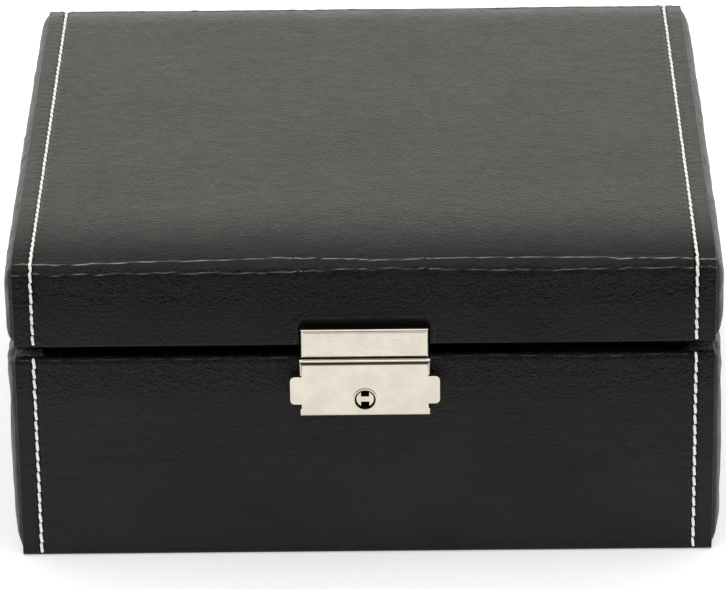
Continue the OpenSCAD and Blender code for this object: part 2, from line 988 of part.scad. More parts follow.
// Key barrel with two square key pockets and a bridge between them
module key_barrel() {
    face_y = case_y + 0.3;
    pocket_depth = 2;
    bridge = 2;
    pocket_w = 2.8;
    color(nickel)
        difference() {
            union() {
                rod_y(0, key_z, barrel_r, face_y, cam_y);
                rod_y(0, key_z, spigot_r, cam_y, spigot_end_y);
            }
            block([-pocket_w / 2, face_y - past, key_z + bridge / 2],
                  [pocket_w / 2, face_y + pocket_depth, key_z + barrel_r + past]);
            block([-pocket_w / 2, face_y - past, key_z - barrel_r - past],
                  [pocket_w / 2, face_y + pocket_depth, key_z - bridge / 2]);
        }
}

// Bar on the end of the key barrel, upright while the lock is open
module locking_cam() {
    color(steel)
        difference() {
            block([-cam_w / 2, cam_y, key_z - cam_len / 2],
                  [cam_w / 2, cam_y + cam_t, key_z + cam_len / 2]);
            rod_y(0, key_z, spigot_r + set_clear, cam_y - past, cam_y + cam_t + past);
        }
}

// Right push tab: thumb piece, slider plate, and a neck with a catch nose behind the strike's barb
module right_tab_blank() {
    tab_in_x = lock_w / 2 - tab_root;
    tab_end_x = lock_w / 2 + tab_out;
    nose_x = prong_x - barb_w - catch_clear;
    slider_low_z = tab_z + slider_margin;
    slider_top_z = tab_z + tab_h - slider_margin;
    along_y(tab_front_y, slider_back) {
        patch([tab_in_x, tab_z], [tab_end_x - tab_corner_r, tab_z + tab_h]);
        patch([tab_in_x, tab_z + tab_corner_r], [tab_end_x, tab_z + tab_h - tab_corner_r]);
        for (z = [tab_z + tab_corner_r, tab_z + tab_h - tab_corner_r])
            translate([tab_end_x - tab_corner_r, z])
                circle(tab_corner_r);
    }
    block([slider_end_x, slider_y, slider_low_z], [tab_in_x + slip, slider_back, slider_top_z]);
    block([neck_x, slider_y, neck_z], [slider_end_x + slip, slider_back, slider_top_z]);
    block([neck_x, neck_front_y, neck_z], [neck_x + neck_w, slider_back, neck_top_z]);
    block([neck_x, neck_front_y, nose_z], [nose_x, slider_back, neck_top_z]);
}

module right_push_tab() {
    color(nickel)
        right_tab_blank();
}

module left_push_tab() {
    color(nickel)
        mirror([1, 0, 0])
            right_tab_blank();
}

// Compression spring between the necks of the two push tabs
module tab_spring() {
    turns = 7;
    steps = 12;
    sides = 6;
    wire_r = 0.2;
    coil_r = 0.85;
    mid_y = (neck_front_y + slider_back) / 2;
    mid_z = (neck_z + neck_top_z) / 2;
    length = 2 * neck_x - 2 * wire_r - slip;
    rings = turns * steps;
    points = [
        for (k = [0:rings])
            for (s = [0:sides - 1])
                let (a = 360 * k / steps, b = 360 * s / sides, r = coil_r + wire_r * cos(b),
                     x = length * (k / rings - 1 / 2) + wire_r * sin(b))
                    [x, mid_y + r * cos(a), mid_z + r * sin(a)]
    ];
    walls = [
        for (k = [0:rings - 1])
            for (s = [0:sides - 1])
                let (t = (s + 1) % sides)
                    [k * sides + s, (k + 1) * sides + s, (k + 1) * sides + t, k * sides + t]
    ];
    ends = [[for (s = [0:sides - 1]) s], [for (s = [sides - 1:-1:0]) rings * sides + s]];
    color(steel)
        polyhedron(points, concat(walls, ends));
}

// Screw along Y, head inside the box and shank towards the front
module lock_screw(tip_y) {
    rod_y(0, 0, screw_head_r, -wall_in_d - screw_head_t + slip, -wall_in_d);
    rod_y(0, 0, lock_screw_r, tip_y, -wall_in_d - screw_head_t + slip);
}

module lock_screws() {
    color(steel)
        lock_screw_places()
            lock_screw(screw_hole_y + screw_tip_gap);
}

// One of the strike's barbed prongs
module prong() {
    block([prong_x, prong_y, prong_z], [prong_x + prong_w, prong_y + prong_t, strike_z + past]);
    block([prong_x - barb_w, prong_y, prong_z], [prong_x + slip, prong_y + prong_t, prong_z + barb_h]);
}

// Strike plate with a bevelled face, lapped over the lid's edge, with two barbed prongs
module strike_plate() {
    bevel = 0.7;
    lap = 3;
    w = lock_w / 2;
    color(nickel)
        difference() {
            union() {
                intersection() {
                    along_x(-w, w)
                        polygon([
                            [-board_d, lid_z], [-board_d, strike_top_z],
                            [strike_y + bevel, strike_top_z], [strike_y, strike_top_z - bevel],
                            [strike_y, strike_z + bevel], [strike_y + bevel, strike_z],
                            [strike_y + lap, strike_z], [strike_y + lap, lid_z]
                        ]);
                    translate([0, 0, strike_z])
                        linear_extrude(strike_h)
                            polygon([
                                [-w, -board_d], [-w, strike_y + bevel], [-w + bevel, strike_y],
                                [w - bevel, strike_y], [w, strike_y + bevel], [w, -board_d]
                            ]);
                }
                prong();
                mirror([1, 0, 0])
                    prong();
            }
            strike_screw_places()
                rod_y(0, 0, lock_screw_r + set_clear, strike_hole_y, -board_d + past);
        }
}

module strike_screws() {
    color(steel)
        strike_screw_places()
            lock_screw(strike_hole_y + screw_tip_gap);
}

// ---------------------------------------------------------------- tray

module tray_frame() {
    color(velvet)
        difference() {
            block([-tray_w, -tray_d, tray_z], [tray_w, tray_d, tray_top_z]);
            block([-tray_in_w, -tray_in_d, tray_z - past], [tray_in_w, tray_in_d, tray_top_z + past]);
        }
}

module tray_floor() {
    color(velvet)
        block([-tray_in_w, -tray_in_d, tray_z], [tray_in_w, tray_in_d, tray_floor_top_z]);
}

tray_divider_drop = 2; // how far the tray's dividers stay below its rim
tray_divider_top_z = tray_top_z - tray_divider_drop;
front_bay_y = tray_long_y - divider_t / 2;
back_bay_y = tray_long_y + divider_t / 2;

module tray_long_divider() {
    color(velvet)
        block([-tray_in_w, front_bay_y, tray_floor_top_z], [tray_in_w, back_bay_y, tray_divider_top_z]);
}

module tray_cross_dividers() {
    half = divider_t / 2;
    color(velvet) {
        block([-half, -tray_in_d, tray_floor_top_z], [half, front_bay_y, tray_divider_top_z]);
        for (side = [-1, 1])
            block([side * tray_cross_x - half, back_bay_y, tray_floor_top_z],
                  [side * tray_cross_x + half, tray_in_d, tray_divider_top_z]);
    }
}

// Pad on the tray's floor between two corners of a bay
module bay_pad(low, high) {
    block([low[0] + slip, low[1] + slip, tray_floor_top_z],
          [high[0] - slip, high[1] - slip, tray_floor_top_z + tray_pad_t]);
}

module tray_pads() {
    half = divider_t / 2;
    color(velvet) {
        bay_pad([half, -tray_in_d], [tray_in_w, front_bay_y]);
        bay_pad([-tray_in_w, back_bay_y], [-tray_cross_x - half, tray_in_d]);
        bay_pad([-tray_cross_x + half, back_bay_y], [tray_cross_x - half, tray_in_d]);
        bay_pad([tray_cross_x + half, back_bay_y], [tray_in_w, tray_in_d]);
    }
}

// Foam rolls that grip rings between them, across the front left bay
module ring_rolls() {
    bay = front_bay_y + tray_in_d;
    roll_w = (bay - (roll_count + 1) * roll_gap) / roll_count;
    roll_r = roll_w / 2;
    color(velvet)
        for (k = [0:roll_count - 1])
            along_x(-tray_in_w + slip, -divider_t / 2 - slip)
                translate([-tray_in_d + roll_gap + roll_r + k * (roll_w + roll_gap), tray_floor_top_z]) {
                    patch([-roll_r, 0], [roll_r, roll_h - roll_r]);
                    translate([0, roll_h - roll_r])
                        circle(roll_r);
                }
}

// Ribbon tabs on the outside of the tray's left and right walls
module tray_pull_tabs() {
    ribbon_t = 0.5;
    low_z = tray_z + tray_h / 2;
    round_z = tray_top_z + pull_rise - pull_w / 2;
    color("#3b3a3e")
        for (side = [0, 1])
            mirror([side, 0, 0])
                along_x(tray_w, tray_w + ribbon_t) {
                    patch([-pull_w / 2, low_z], [pull_w / 2, round_z]);
                    translate([0, round_z])
                        circle(pull_w / 2);
                }
}

// ---------------------------------------------------------------- nodes

base_floor_board();
base_front_board();
base_back_board();
base_left_board();
base_right_board();
base_front_wrap();
base_back_wrap();
base_left_pad();
base_right_pad();
base_left_stitching();
base_right_stitching();
bottom_felt();
front_liner();
back_liner();
left_liner();
right_liner();
floor_pad();
lower_long_divider();
lower_cross_dividers();
lid_top_board();
lid_front_board();
lid_back_board();
lid_left_board();
lid_right_board();
lid_foam();
lid_wrap();
lid_left_pad();
lid_right_pad();
lid_left_stitching();
lid_right_stitching();
lid_liner();
lid_lining_pad();
mirror_frame();
mirror_glass();  // mirror
left_hinge_base_leaf();
right_hinge_base_leaf();
left_hinge_lid_leaf();
right_hinge_lid_leaf();
left_hinge_pin();
right_hinge_pin();
hinge_base_screws();
hinge_lid_screws();
lock_case();
lock_back_plate();
keyhole_bush();
tab_spring();
lock_screws();
left_push_tab();
right_push_tab();
key_barrel();
locking_cam();
strike_plate();
strike_screws();
tray_frame();
tray_floor();
tray_long_divider();
tray_cross_dividers();
tray_pads();
ring_rolls();
tray_pull_tabs();
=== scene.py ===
# Looks of the jewelry gift box: stitched leatherette over padded sides, a nickel lock and velvet linings.
import json
import math

import bmesh
import bpy
import numpy as np
from mathutils import Matrix, Vector

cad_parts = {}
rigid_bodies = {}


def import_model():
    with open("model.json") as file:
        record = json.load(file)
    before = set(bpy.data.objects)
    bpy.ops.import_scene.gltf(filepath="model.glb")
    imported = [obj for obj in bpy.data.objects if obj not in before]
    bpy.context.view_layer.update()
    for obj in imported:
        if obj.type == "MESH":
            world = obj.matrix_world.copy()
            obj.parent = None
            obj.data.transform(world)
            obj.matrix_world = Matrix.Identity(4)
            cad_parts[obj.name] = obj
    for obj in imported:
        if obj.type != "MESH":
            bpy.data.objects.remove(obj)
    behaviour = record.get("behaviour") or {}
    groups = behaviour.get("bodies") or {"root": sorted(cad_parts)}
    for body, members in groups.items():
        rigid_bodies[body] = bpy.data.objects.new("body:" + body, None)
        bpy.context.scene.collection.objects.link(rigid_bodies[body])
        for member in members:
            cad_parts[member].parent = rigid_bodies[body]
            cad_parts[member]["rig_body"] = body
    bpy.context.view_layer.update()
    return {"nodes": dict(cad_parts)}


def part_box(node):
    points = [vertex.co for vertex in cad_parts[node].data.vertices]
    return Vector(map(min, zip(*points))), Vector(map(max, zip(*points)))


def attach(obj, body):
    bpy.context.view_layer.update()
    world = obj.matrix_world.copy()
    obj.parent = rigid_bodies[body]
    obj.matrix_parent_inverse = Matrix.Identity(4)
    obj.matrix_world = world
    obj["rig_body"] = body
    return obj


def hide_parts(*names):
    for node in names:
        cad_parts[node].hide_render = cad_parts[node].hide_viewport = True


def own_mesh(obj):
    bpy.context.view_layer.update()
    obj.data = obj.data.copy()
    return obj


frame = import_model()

MM = 0.001
nodes = frame["nodes"]

# ---------------------------------------------------------------- sizes, from the frame

LID_LOW, LID_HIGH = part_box("lid_wrap")
WRAP_LOW, WRAP_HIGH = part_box("base_front_wrap")
HALF_W = LID_HIGH.x
HALF_D = LID_HIGH.y
WALL_IN_W, WALL_IN_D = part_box("base_floor_board")[1].xy
LEATHER = 1.2 * MM
LID_BEND = 6 * MM
BASE_BEND = 2.4 * MM
LOW_BEND = 0.9 * MM
EDGE_BEND = 1 * MM
SEAM_X = (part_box("lid_right_stitching")[0].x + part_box("lid_right_stitching")[1].x) / 2
STITCH_PITCH = 4 * MM


# ---------------------------------------------------------------- meshes

def piece(name, points, faces, body, material, replaces=(), sharp=40):
    """A new mesh piece that rides on a body, smooth except along edges sharper than an angle."""
    mesh = bpy.data.meshes.new(name)
    mesh.from_pydata(np.asarray(points).tolist(), [], [list(map(int, f)) for f in faces])
    mesh.materials.append(material)
    mesh.polygons.foreach_set("use_smooth", [True] * len(mesh.polygons))
    mesh.set_sharp_from_angle(angle=math.radians(sharp))
    obj = bpy.data.objects.new(name, mesh)
    bpy.context.scene.collection.objects.link(obj)
    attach(obj, body)
    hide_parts(*replaces)
    return obj


def outward(obj):
    """Turns every face of a closed mesh outward."""
    bm = bmesh.new()
    bm.from_mesh(obj.data)
    bmesh.ops.recalc_face_normals(bm, faces=bm.faces)
    bm.to_mesh(obj.data)
    bm.free()


def together(*parts):
    """Several (points, faces) as one."""
    points, faces, first = [], [], 0
    for p, f in parts:
        points.append(p)
        faces += [[k + first for k in face] for face in f]
        first += len(p)
    return np.concatenate(points), faces


def grid_faces(rows, cols):
    """Quads of a grid of points that is stored row by row."""
    i, j = np.meshgrid(np.arange(rows - 1), np.arange(cols - 1), indexing="ij")
    a = (i * cols + j).ravel()
    return np.stack([a, a + 1, a + cols + 1, a + cols], axis=1)


def tube_faces(rings, sides):
    """Quads between closed rings of points that are stored ring by ring."""
    return [[a + j, a + sides + j, a + sides + (j + 1) % sides, a + (j + 1) % sides]
            for a in range(0, (rings - 1) * sides, sides) for j in range(sides)]


def capped_tube(rings, sides):
    """The faces of a tube with an end face on both its ends."""
    ends = [list(range(sides)), list(reversed(range((rings - 1) * sides, rings * sides)))]
    return tube_faces(rings, sides) + ends


def shell(outer, inner, keep=None):
    """A closed sheet between two grids of points, with walls round its rim and round any cells left out.
    More than three numbers a point are carried along."""
    rows, cols = outer.shape[:2]
    count = rows * cols
    keep = np.ones((rows - 1, cols - 1), bool) if keep is None else keep
    top = grid_faces(rows, cols)[keep.ravel()]
    edges = np.concatenate([top[:, [k, (k + 1) % 4]] for k in range(4)])
    codes = edges[:, 0] * count + edges[:, 1]
    rim = edges[~np.isin(codes, edges[:, 1] * count + edges[:, 0])]
    walls = np.stack([rim[:, 1], rim[:, 0], rim[:, 0] + count, rim[:, 1] + count], axis=1)
    faces = np.concatenate([top, top[:, ::-1] + count, walls])
    points = np.concatenate([outer.reshape(count, -1), inner.reshape(count, -1)])
    used, packed = np.unique(faces, return_inverse=True)
    return points[used], packed.reshape(faces.shape)


def waves(u, v, length, seed, count=9):
    """Smooth random ripples from -1 to 1, about one wave length apart."""
    rng = np.random.default_rng(seed)
    total = 0
    for _ in range(count):
        angle, phase = rng.uniform(0, 2 * math.pi, 2)
        k = 2 * math.pi / (length * rng.uniform(0.7, 1.5))
        total = total + np.sin(k * (u * math.cos(angle) + v * math.sin(angle)) + phase)
    return total / math.sqrt(count)


def bump(distance, width):
    return np.exp(-(distance / width) ** 2)


def line(start, end):
    return ("line", np.array(start), np.array(end))


def arc(centre, radius, start, end):
    return ("arc", np.array(centre), radius, math.radians(start), math.radians(end))


class Outline:
    """A run of lines and clockwise arcs in Y and Z, measured by the distance along it."""

    def __init__(self, *parts):
        self.parts = parts
        self.lengths = [
            float(np.linalg.norm(p[2] - p[1])) if p[0] == "line" else p[2] * abs(p[4] - p[3]) for p in parts
        ]
        self.starts = np.concatenate([[0], np.cumsum(self.lengths)])
        self.length = float(self.starts[-1])

    def at(self, s):
        """Place and outward normal at each distance."""
        place, normal = np.zeros((len(s), 2)), np.zeros((len(s), 2))
        part_of = np.clip(np.searchsorted(self.starts, s, side="right") - 1, 0, len(self.parts) - 1)
        for k, part in enumerate(self.parts):
            chosen = part_of == k
            t = ((s[chosen] - self.starts[k]) / self.lengths[k])[:, None]
            if part[0] == "line":
                along = (part[2] - part[1]) / self.lengths[k]
                place[chosen] = part[1] + t * (part[2] - part[1])
                normal[chosen] = [-along[1], along[0]]
            else:
                angle = part[3] + t[:, 0] * (part[4] - part[3])
                normal[chosen] = np.stack([np.cos(angle), np.sin(angle)], axis=1)
                place[chosen] = part[1] + part[2] * normal[chosen]
        return place, normal


def spread(low, high, step, *places):
    """Numbers from low to high about a step apart, and closer round some places: (place, reach, step)."""
    found = [np.linspace(low, high, max(2, round((high - low) / step) + 1))]
    for place, reach, fine in places:
        near = np.arange(place - reach, place + reach + fine / 2, fine)
        found = [f[(f < place - reach) | (f > place + reach)] for f in found] + [near]
    values = np.unique(np.clip(np.round(np.concatenate(found), 6), low, high))
    return values[np.concatenate([[True], np.diff(values) > 0.02 * MM])]


# ---------------------------------------------------------------- materials

class Graph:
    """A tree of shader nodes, and ways to add to it."""

    def __init__(self, tree):
        self.tree = tree

    def add(self, kind, inputs=None, **settings):
        """A new node; each input is a number, a colour or another node's output."""
        node = self.tree.nodes.new(kind)
        for key, value in settings.items():
            setattr(node, key, value)
        for key, value in (inputs or {}).items():
            self.put(node.inputs[key], value)
        return node

    def put(self, socket, value):
        if isinstance(value, bpy.types.NodeSocket):
            self.tree.links.new(value, socket)
        else:
            socket.default_value = value

    def math(self, operation, a, b=0.0, c=0.0):
        return self.add("ShaderNodeMath", {0: a, 1: b, 2: c}, operation=operation).outputs[0]

    def band(self, texture, low, high, to_low=0.0, to_high=1.0):
        inputs = {"Value": texture, "From Min": low, "From Max": high, "To Min": to_low, "To Max": to_high}
        return self.add("ShaderNodeMapRange", inputs, interpolation_type="SMOOTHSTEP").outputs["Result"]

    def blend(self, factor, a, b):
        node = self.add("ShaderNodeMix", {"Factor": factor}, data_type="RGBA")
        self.put(node.inputs[6], (*a, 1.0) if isinstance(a, tuple) else a)
        self.put(node.inputs[7], (*b, 1.0) if isinstance(b, tuple) else b)
        return node.outputs[2]


class Finish(Graph):
    """A node material that is built round its Principled shader, in the object's own coordinates."""

    def __init__(self, name, **values):
        self.material = bpy.data.materials.new(name)
        self.material.use_nodes = True
        super().__init__(self.material.node_tree)
        self.shader = self.tree.nodes["Principled BSDF"]
        self.place = self.add("ShaderNodeTexCoord").outputs["Object"]
        for socket, value in values.items():
            self.shader.inputs[socket.replace("_", " ")].default_value = value

    def scaled(self, x, y, z):
        return self.add("ShaderNodeMapping", {"Vector": self.place, "Scale": (x, y, z)}).outputs["Vector"]

    def noise(self, scale, detail=2.0, place=None, distortion=0.0):
        inputs = {"Vector": place or self.place, "Scale": scale, "Detail": detail, "Distortion": distortion}
        return self.add("ShaderNodeTexNoise", inputs).outputs["Fac"]

    def cells(self, scale, place=None, feature="SMOOTH_F1"):
        inputs = {"Vector": place or self.place, "Scale": scale}
        return self.add("ShaderNodeTexVoronoi", inputs, feature=feature).outputs["Distance"]

    def total(self, *weighted):
        """Weighted sum of textures."""
        out = 0.0
        for texture, weight in weighted:
            out = self.math("MULTIPLY_ADD", texture, weight, out)
        return out

    def colour(self, value):
        self.put(self.shader.inputs["Base Color"], value)

    def roughness(self, value):
        self.put(self.shader.inputs["Roughness"], value)

    def relief(self, height, distance, strength=1.0):
        inputs = {"Height": height, "Distance": distance, "Strength": strength}
        self.put(self.shader.inputs["Normal"], self.add("ShaderNodeBump", inputs).outputs["Normal"])


def leather_finish(name, dark, light, low_rough, high_rough):
    """Leatherette: wormy grain with pores, fine creases that run across the box, and painted highlights on its
    crease ridges.
    The mesh says where highlights are painted, and where its grain is drawn up and painted darker as shade."""
    f = Finish(name, Specular_IOR_Level=0.24)
    highlight_amount = f.add("ShaderNodeAttribute", attribute_name="painted_highlight").outputs["Fac"]
    drawn_and_shaded = f.add("ShaderNodeAttribute", attribute_name="grain_and_shade").outputs["Fac"]
    dull = f.add("ShaderNodeAttribute", attribute_name="dull").outputs["Fac"]
    wander = f.add("ShaderNodeTexNoise", {"Vector": f.place, "Scale": 420.0}).outputs["Color"]
    shift = f.add("ShaderNodeVectorMath", {0: wander, "Scale": 1.1 * MM}, operation="SCALE").outputs[0]
    bent = f.add("ShaderNodeVectorMath", {0: f.place, 1: shift}, operation="ADD").outputs[0]
    grain_and_shade = f.cells(900.0, bent)
    pores = f.cells(1900.0, bent, feature="F1")
    creases = f.noise(1.0, 5.0, f.scaled(85.0, 210.0, 210.0), 2.0)
    folds = f.band(f.math("ABSOLUTE", f.math("SUBTRACT", creases, 0.5)), 0.0, 0.045)
    fine = f.noise(1.0, 3.0, f.scaled(700.0, 1100.0, 1100.0))
    height = f.total((grain_and_shade, 0.9), (pores, 0.35), (folds, 0.30), (fine, 0.55))
    f.relief(height, 0.42 * MM, f.math("MULTIPLY_ADD", drawn_and_shaded, 0.95, 0.24))
    mottle = f.band(f.noise(26.0, 3.0), 0.35, 0.7)
    # painted shade: where the grain is drawn up, the colour is darkened towards near black, most in the grain's
    # pits
    painted_shade = f.math("MULTIPLY", drawn_and_shaded, f.band(grain_and_shade, 0.15, 0.55, 1.0, 0.45))
    body = f.blend(painted_shade, f.blend(mottle, dark, light), (0.0016, 0.0014, 0.0019))
    # painted highlight: a paler colour along the crease ridges stands in for their glints
    f.colour(f.blend(f.band(highlight_amount, 0.0, 1.0), body, (0.36, 0.355, 0.35)))
    polish = f.band(f.total((f.noise(220.0, 3.0), 0.6), (grain_and_shade, 0.4)), 0.2, 0.8, low_rough, high_rough)
    f.roughness(f.math("MULTIPLY_ADD", dull, 0.34, polish))
    return f.material


def backing_finish():
    f = Finish("leatherette_edge", Roughness=0.8)
    f.colour(f.blend(f.noise(1800.0), (0.05, 0.05, 0.048), (0.12, 0.115, 0.11)))
    f.relief(f.noise(3000.0), 0.05 * MM)
    return f.material


def thread_finish():
    """Waxed white thread with the lie of its fibres, and a faint painted glow from its emission."""
    f = Finish("waxed_thread", Roughness=0.45, Specular_IOR_Level=0.35, Emission_Strength=0.16)
    # painted light: the thread glows faintly through its emission
    f.shader.inputs["Emission Color"].default_value = (1.0, 0.98, 0.93, 1.0)
    fibres = f.noise(2200.0, 3.0)
    f.colour(f.blend(fibres, (0.90, 0.88, 0.83), (0.98, 0.97, 0.94)))
    f.relief(fibres, 0.04 * MM, 0.6)
    return f.material


def metal_finish(name, dull, bright, low_rough, high_rough, brush=(220.0, 4200.0, 4200.0), shade=None):
    """Plated metal with fine scratches along one direction and rubbed patches. What lies deeper than shade, a
    distance along Y, is painted dark as shade in its hollows."""
    f = Finish(name, Metallic=1.0)
    smudge = f.noise(160.0, 4.0)
    lines = f.noise(1.0, 3.0, f.scaled(*brush))
    scratches = f.band(lines, 0.66, 0.72)
    colour = f.blend(f.band(smudge, 0.35, 0.75), dull, bright)
    if shade is not None:
        depth = f.add("ShaderNodeSeparateXYZ", {"Vector": f.place}).outputs["Y"]
        # painted shade in the hollows of the keyhole and the key barrel
        colour = f.blend(f.band(depth, shade, shade + 0.25 * MM), colour, (0.02, 0.018, 0.015))
    f.colour(colour)
    f.roughness(f.band(f.total((smudge, 0.8), (scratches, 0.2)), 0.2, 0.9, low_rough, high_rough))
    f.relief(f.total((scratches, -0.5), (f.noise(45.0, 2.0), 1.2)), 0.02 * MM, 0.25)
    return f.material


def velvet_finish(name, dark, light):
    """Short-pile velvet: brushed patches and a soft sheen."""
    f = Finish(name, Roughness=0.92, Specular_IOR_Level=0.1, Sheen_Weight=0.55, Sheen_Roughness=0.35)
    f.shader.inputs["Sheen Tint"].default_value = (0.55, 0.56, 0.6, 1.0)
    pile = f.noise(2400.0, 2.0)
    brushed = f.noise(1.0, 3.0, f.scaled(34.0, 90.0, 90.0), 0.8)
    f.colour(f.blend(f.band(f.total((pile, 0.45), (brushed, 0.55)), 0.3, 0.7), dark, light))
    f.relief(f.total((pile, 0.6), (brushed, 0.6)), 0.12 * MM, 0.5)
    return f.material


def felt_finish():
    f = Finish("felt", Roughness=0.95, Specular_IOR_Level=0.1, Sheen_Weight=0.3)
    fibres = f.noise(900.0, 5.0, distortion=1.5)
    f.colour(f.blend(fibres, (0.012, 0.012, 0.014), (0.035, 0.035, 0.038)))
    f.relief(fibres, 0.2 * MM, 0.6)
    return f.material


def board_finish():
    """Fibreboard: pressed fibres, with darker flecks."""
    f = Finish("fibreboard", Roughness=0.75, Specular_IOR_Level=0.3)
    fibres = f.noise(1.0, 4.0, f.scaled(700.0, 700.0, 260.0), 0.6)
    flecks = f.band(f.noise(1400.0, 2.0), 0.66, 0.74)
    f.colour(f.blend(flecks, f.blend(fibres, (0.40, 0.26, 0.13), (0.55, 0.38, 0.20)), (0.20, 0.11, 0.05)))
    f.relief(fibres, 0.1 * MM, 0.5)
    return f.material


def foam_finish():
    f = Finish("foam", Roughness=0.9, Specular_IOR_Level=0.1)
    f.colour(f.blend(f.noise(60.0), (0.62, 0.58, 0.42), (0.74, 0.70, 0.54)))
    f.relief(f.cells(1300.0), 0.3 * MM, 0.7)
    return f.material


def ribbon_finish():
    """Woven ribbon with fine cross ribs."""
    f = Finish("ribbon", Roughness=0.5, Specular_IOR_Level=0.3, Sheen_Weight=0.3)
    ribs = f.add("ShaderNodeTexWave", {"Vector": f.place, "Scale": 520.0}, bands_direction="Z").outputs["Fac"]
    f.colour(f.blend(ribs, (0.012, 0.012, 0.014), (0.04, 0.04, 0.045)))
    f.relief(ribs, 0.08 * MM, 0.6)
    return f.material


def mirror_finish():
    f = Finish("mirror_glass", Metallic=1.0)
    f.colour(f.blend(f.noise(14.0), (0.88, 0.90, 0.90), (0.92, 0.94, 0.94)))
    f.roughness(f.band(f.noise(40.0, 3.0), 0.3, 0.8, 0.01, 0.035))
    return f.material


LEATHER_LOOK = leather_finish("leatherette", (0.0042, 0.0041, 0.0038), (0.0082, 0.0081, 0.0075), 0.30, 0.42)
# the side pads' copy of the leatherette is painted lighter than the wrap's, standing for the brighter light the
# sides catch
SIDE_PAINTED_LIGHTER_LOOK = leather_finish("side_leatherette", (0.0090, 0.0088, 0.0080), (0.0170, 0.0165, 0.0150), 0.36, 0.5)
EDGE_LOOK = backing_finish()
THREAD_LOOK = thread_finish()
NICKEL = ((0.61, 0.562, 0.478), (0.68, 0.635, 0.55), 0.03, 0.10)
NICKEL_LOOK = metal_finish("polished_nickel", *NICKEL)
KEYHOLE_LOOK = metal_finish("keyhole_nickel", *NICKEL, shade=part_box("key_barrel")[0].y + 0.1 * MM)
STEEL_LOOK = metal_finish("zinc_plated_steel", (0.42, 0.42, 0.41), (0.56, 0.56, 0.54), 0.28, 0.42,
                          brush=(900.0, 900.0, 900.0))
VELVET_LOOK = velvet_finish("black_velvet", (0.006, 0.006, 0.007), (0.022, 0.022, 0.025))
FELT_LOOK = felt_finish()
BOARD_LOOK = board_finish()
FOAM_LOOK = foam_finish()
RIBBON_LOOK = ribbon_finish()
MIRROR_LOOK = mirror_finish()


# ---------------------------------------------------------------- leatherette wraps

def seam_relief(s, x, first, pitch):
    """Groove under a row of stitches, a hole at each of their ends, and the leather's puff beside them."""
    u = np.abs(x) - SEAM_X
    hole = (s - first + pitch / 2) / pitch
    v = (hole - np.round(hole)) * pitch
    groove = -0.42 * MM * bump(u, 0.95 * MM)
    holes = -0.45 * MM * bump(u, 0.5 * MM) * bump(v, 0.45 * MM)
    stretch = 0.65 + 0.35 * np.cos(2 * math.pi * hole + math.pi)
    trench = -0.34 * MM * bump(np.abs(u) - 0.74 * MM, 0.2 * MM) * stretch
    puff = 0.17 * MM * bump(np.abs(u) - 2.2 * MM, 1.0 * MM) * (0.75 - 0.25 * np.cos(2 * math.pi * hole))
    return groove + trench + holes + puff


def cut_edge(x):
    """The cut edge's rounded corner."""
    radius = 0.4 * MM
    inside = np.clip(radius - (HALF_W - np.abs(x)), 0, radius)
    return np.sqrt(radius ** 2 - inside ** 2) - radius


def wrap_columns(*more):
    edges = [(side * HALF_W, 0.42 * MM, 0.1 * MM) for side in (-1, 1)]
    seams = [(side * SEAM_X, 3.2 * MM, 0.35 * MM) for side in (-1, 1)]
    seams += [(side * SEAM_X, 1.2 * MM, 0.15 * MM) for side in (-1, 1)]
    return spread(-HALF_W, HALF_W, 2.5 * MM, *edges, *seams, *more)


def wrap(name, outline, rows, columns, relief, marks, keep, body, node, back=False):
    """A sheet bent round an outline in Y and Z, drawn out along X, with its relief on the outside."""
    place, normal = outline.at(rows)
    s, x = np.meshgrid(rows, columns, indexing="ij")
    lift = relief(s, x) + cut_edge(x)
    painted_highlight, grain_and_shade, dull = marks(s, x)
    outer = np.stack([x, place[:, :1] + normal[:, :1] * lift, place[:, 1:] + normal[:, 1:] * lift,
                      painted_highlight, grain_and_shade, dull], axis=2)
    under = place - normal * LEATHER
    inner = np.stack([x, under[:, :1] + 0 * x, under[:, 1:] + 0 * x, 0 * x, 0 * x, 0 * x], axis=2)
    points, faces = shell(outer, inner, keep(s[:-1, :-1] + np.diff(s, axis=0)[:, :-1] / 2,
                                             x[:-1, :-1] + np.diff(x, axis=1)[:-1] / 2))
    if back:
        points[:, 1] *= -1
        faces = faces[:, ::-1]
    obj = piece(name, points[:, :3], faces, body, LEATHER_LOOK, [node])
    for column, mark in ((3, "painted_highlight"), (4, "grain_and_shade"), (5, "dull")):
        obj.data.attributes.new(mark, "FLOAT", "POINT").data.foreach_set("value", points[:, column])
    obj.data.materials.append(EDGE_LOOK)
    at_edge = np.abs(points[faces][:, :, 0]).min(axis=1) > HALF_W - 0.02 * MM
    obj.data.polygons.foreach_set("material_index", at_edge.astype(np.int32))


# The lid's wrap: hem, front, bend, top, bend, back, hem
bend_y, bend_z = HALF_D - LID_BEND, LID_HIGH.z - LID_BEND
edge_y, edge_z = HALF_D - EDGE_BEND, LID_LOW.z + EDGE_BEND
LID_OUTLINE = Outline(
    line((-WALL_IN_D, LID_LOW.z), (-edge_y, LID_LOW.z)),
    arc((-edge_y, edge_z), EDGE_BEND, 270, 180),
    line((-HALF_D, edge_z), (-HALF_D, bend_z)),
    arc((-bend_y, bend_z), LID_BEND, 180, 90),
    line((-bend_y, LID_HIGH.z), (bend_y, LID_HIGH.z)),
    arc((bend_y, bend_z), LID_BEND, 90, 0),
    line((HALF_D, bend_z), (HALF_D, edge_z)),
    arc((edge_y, edge_z), EDGE_BEND, 0, -90),
    line((edge_y, LID_LOW.z), (WALL_IN_D, LID_LOW.z)),
)
LID_BEND_AT = (LID_OUTLINE.starts[3], LID_OUTLINE.starts[5])
LID_SEAM_ENDS = (LID_OUTLINE.starts[2] - 0.3 * MM, LID_OUTLINE.starts[7] + 0.3 * MM)
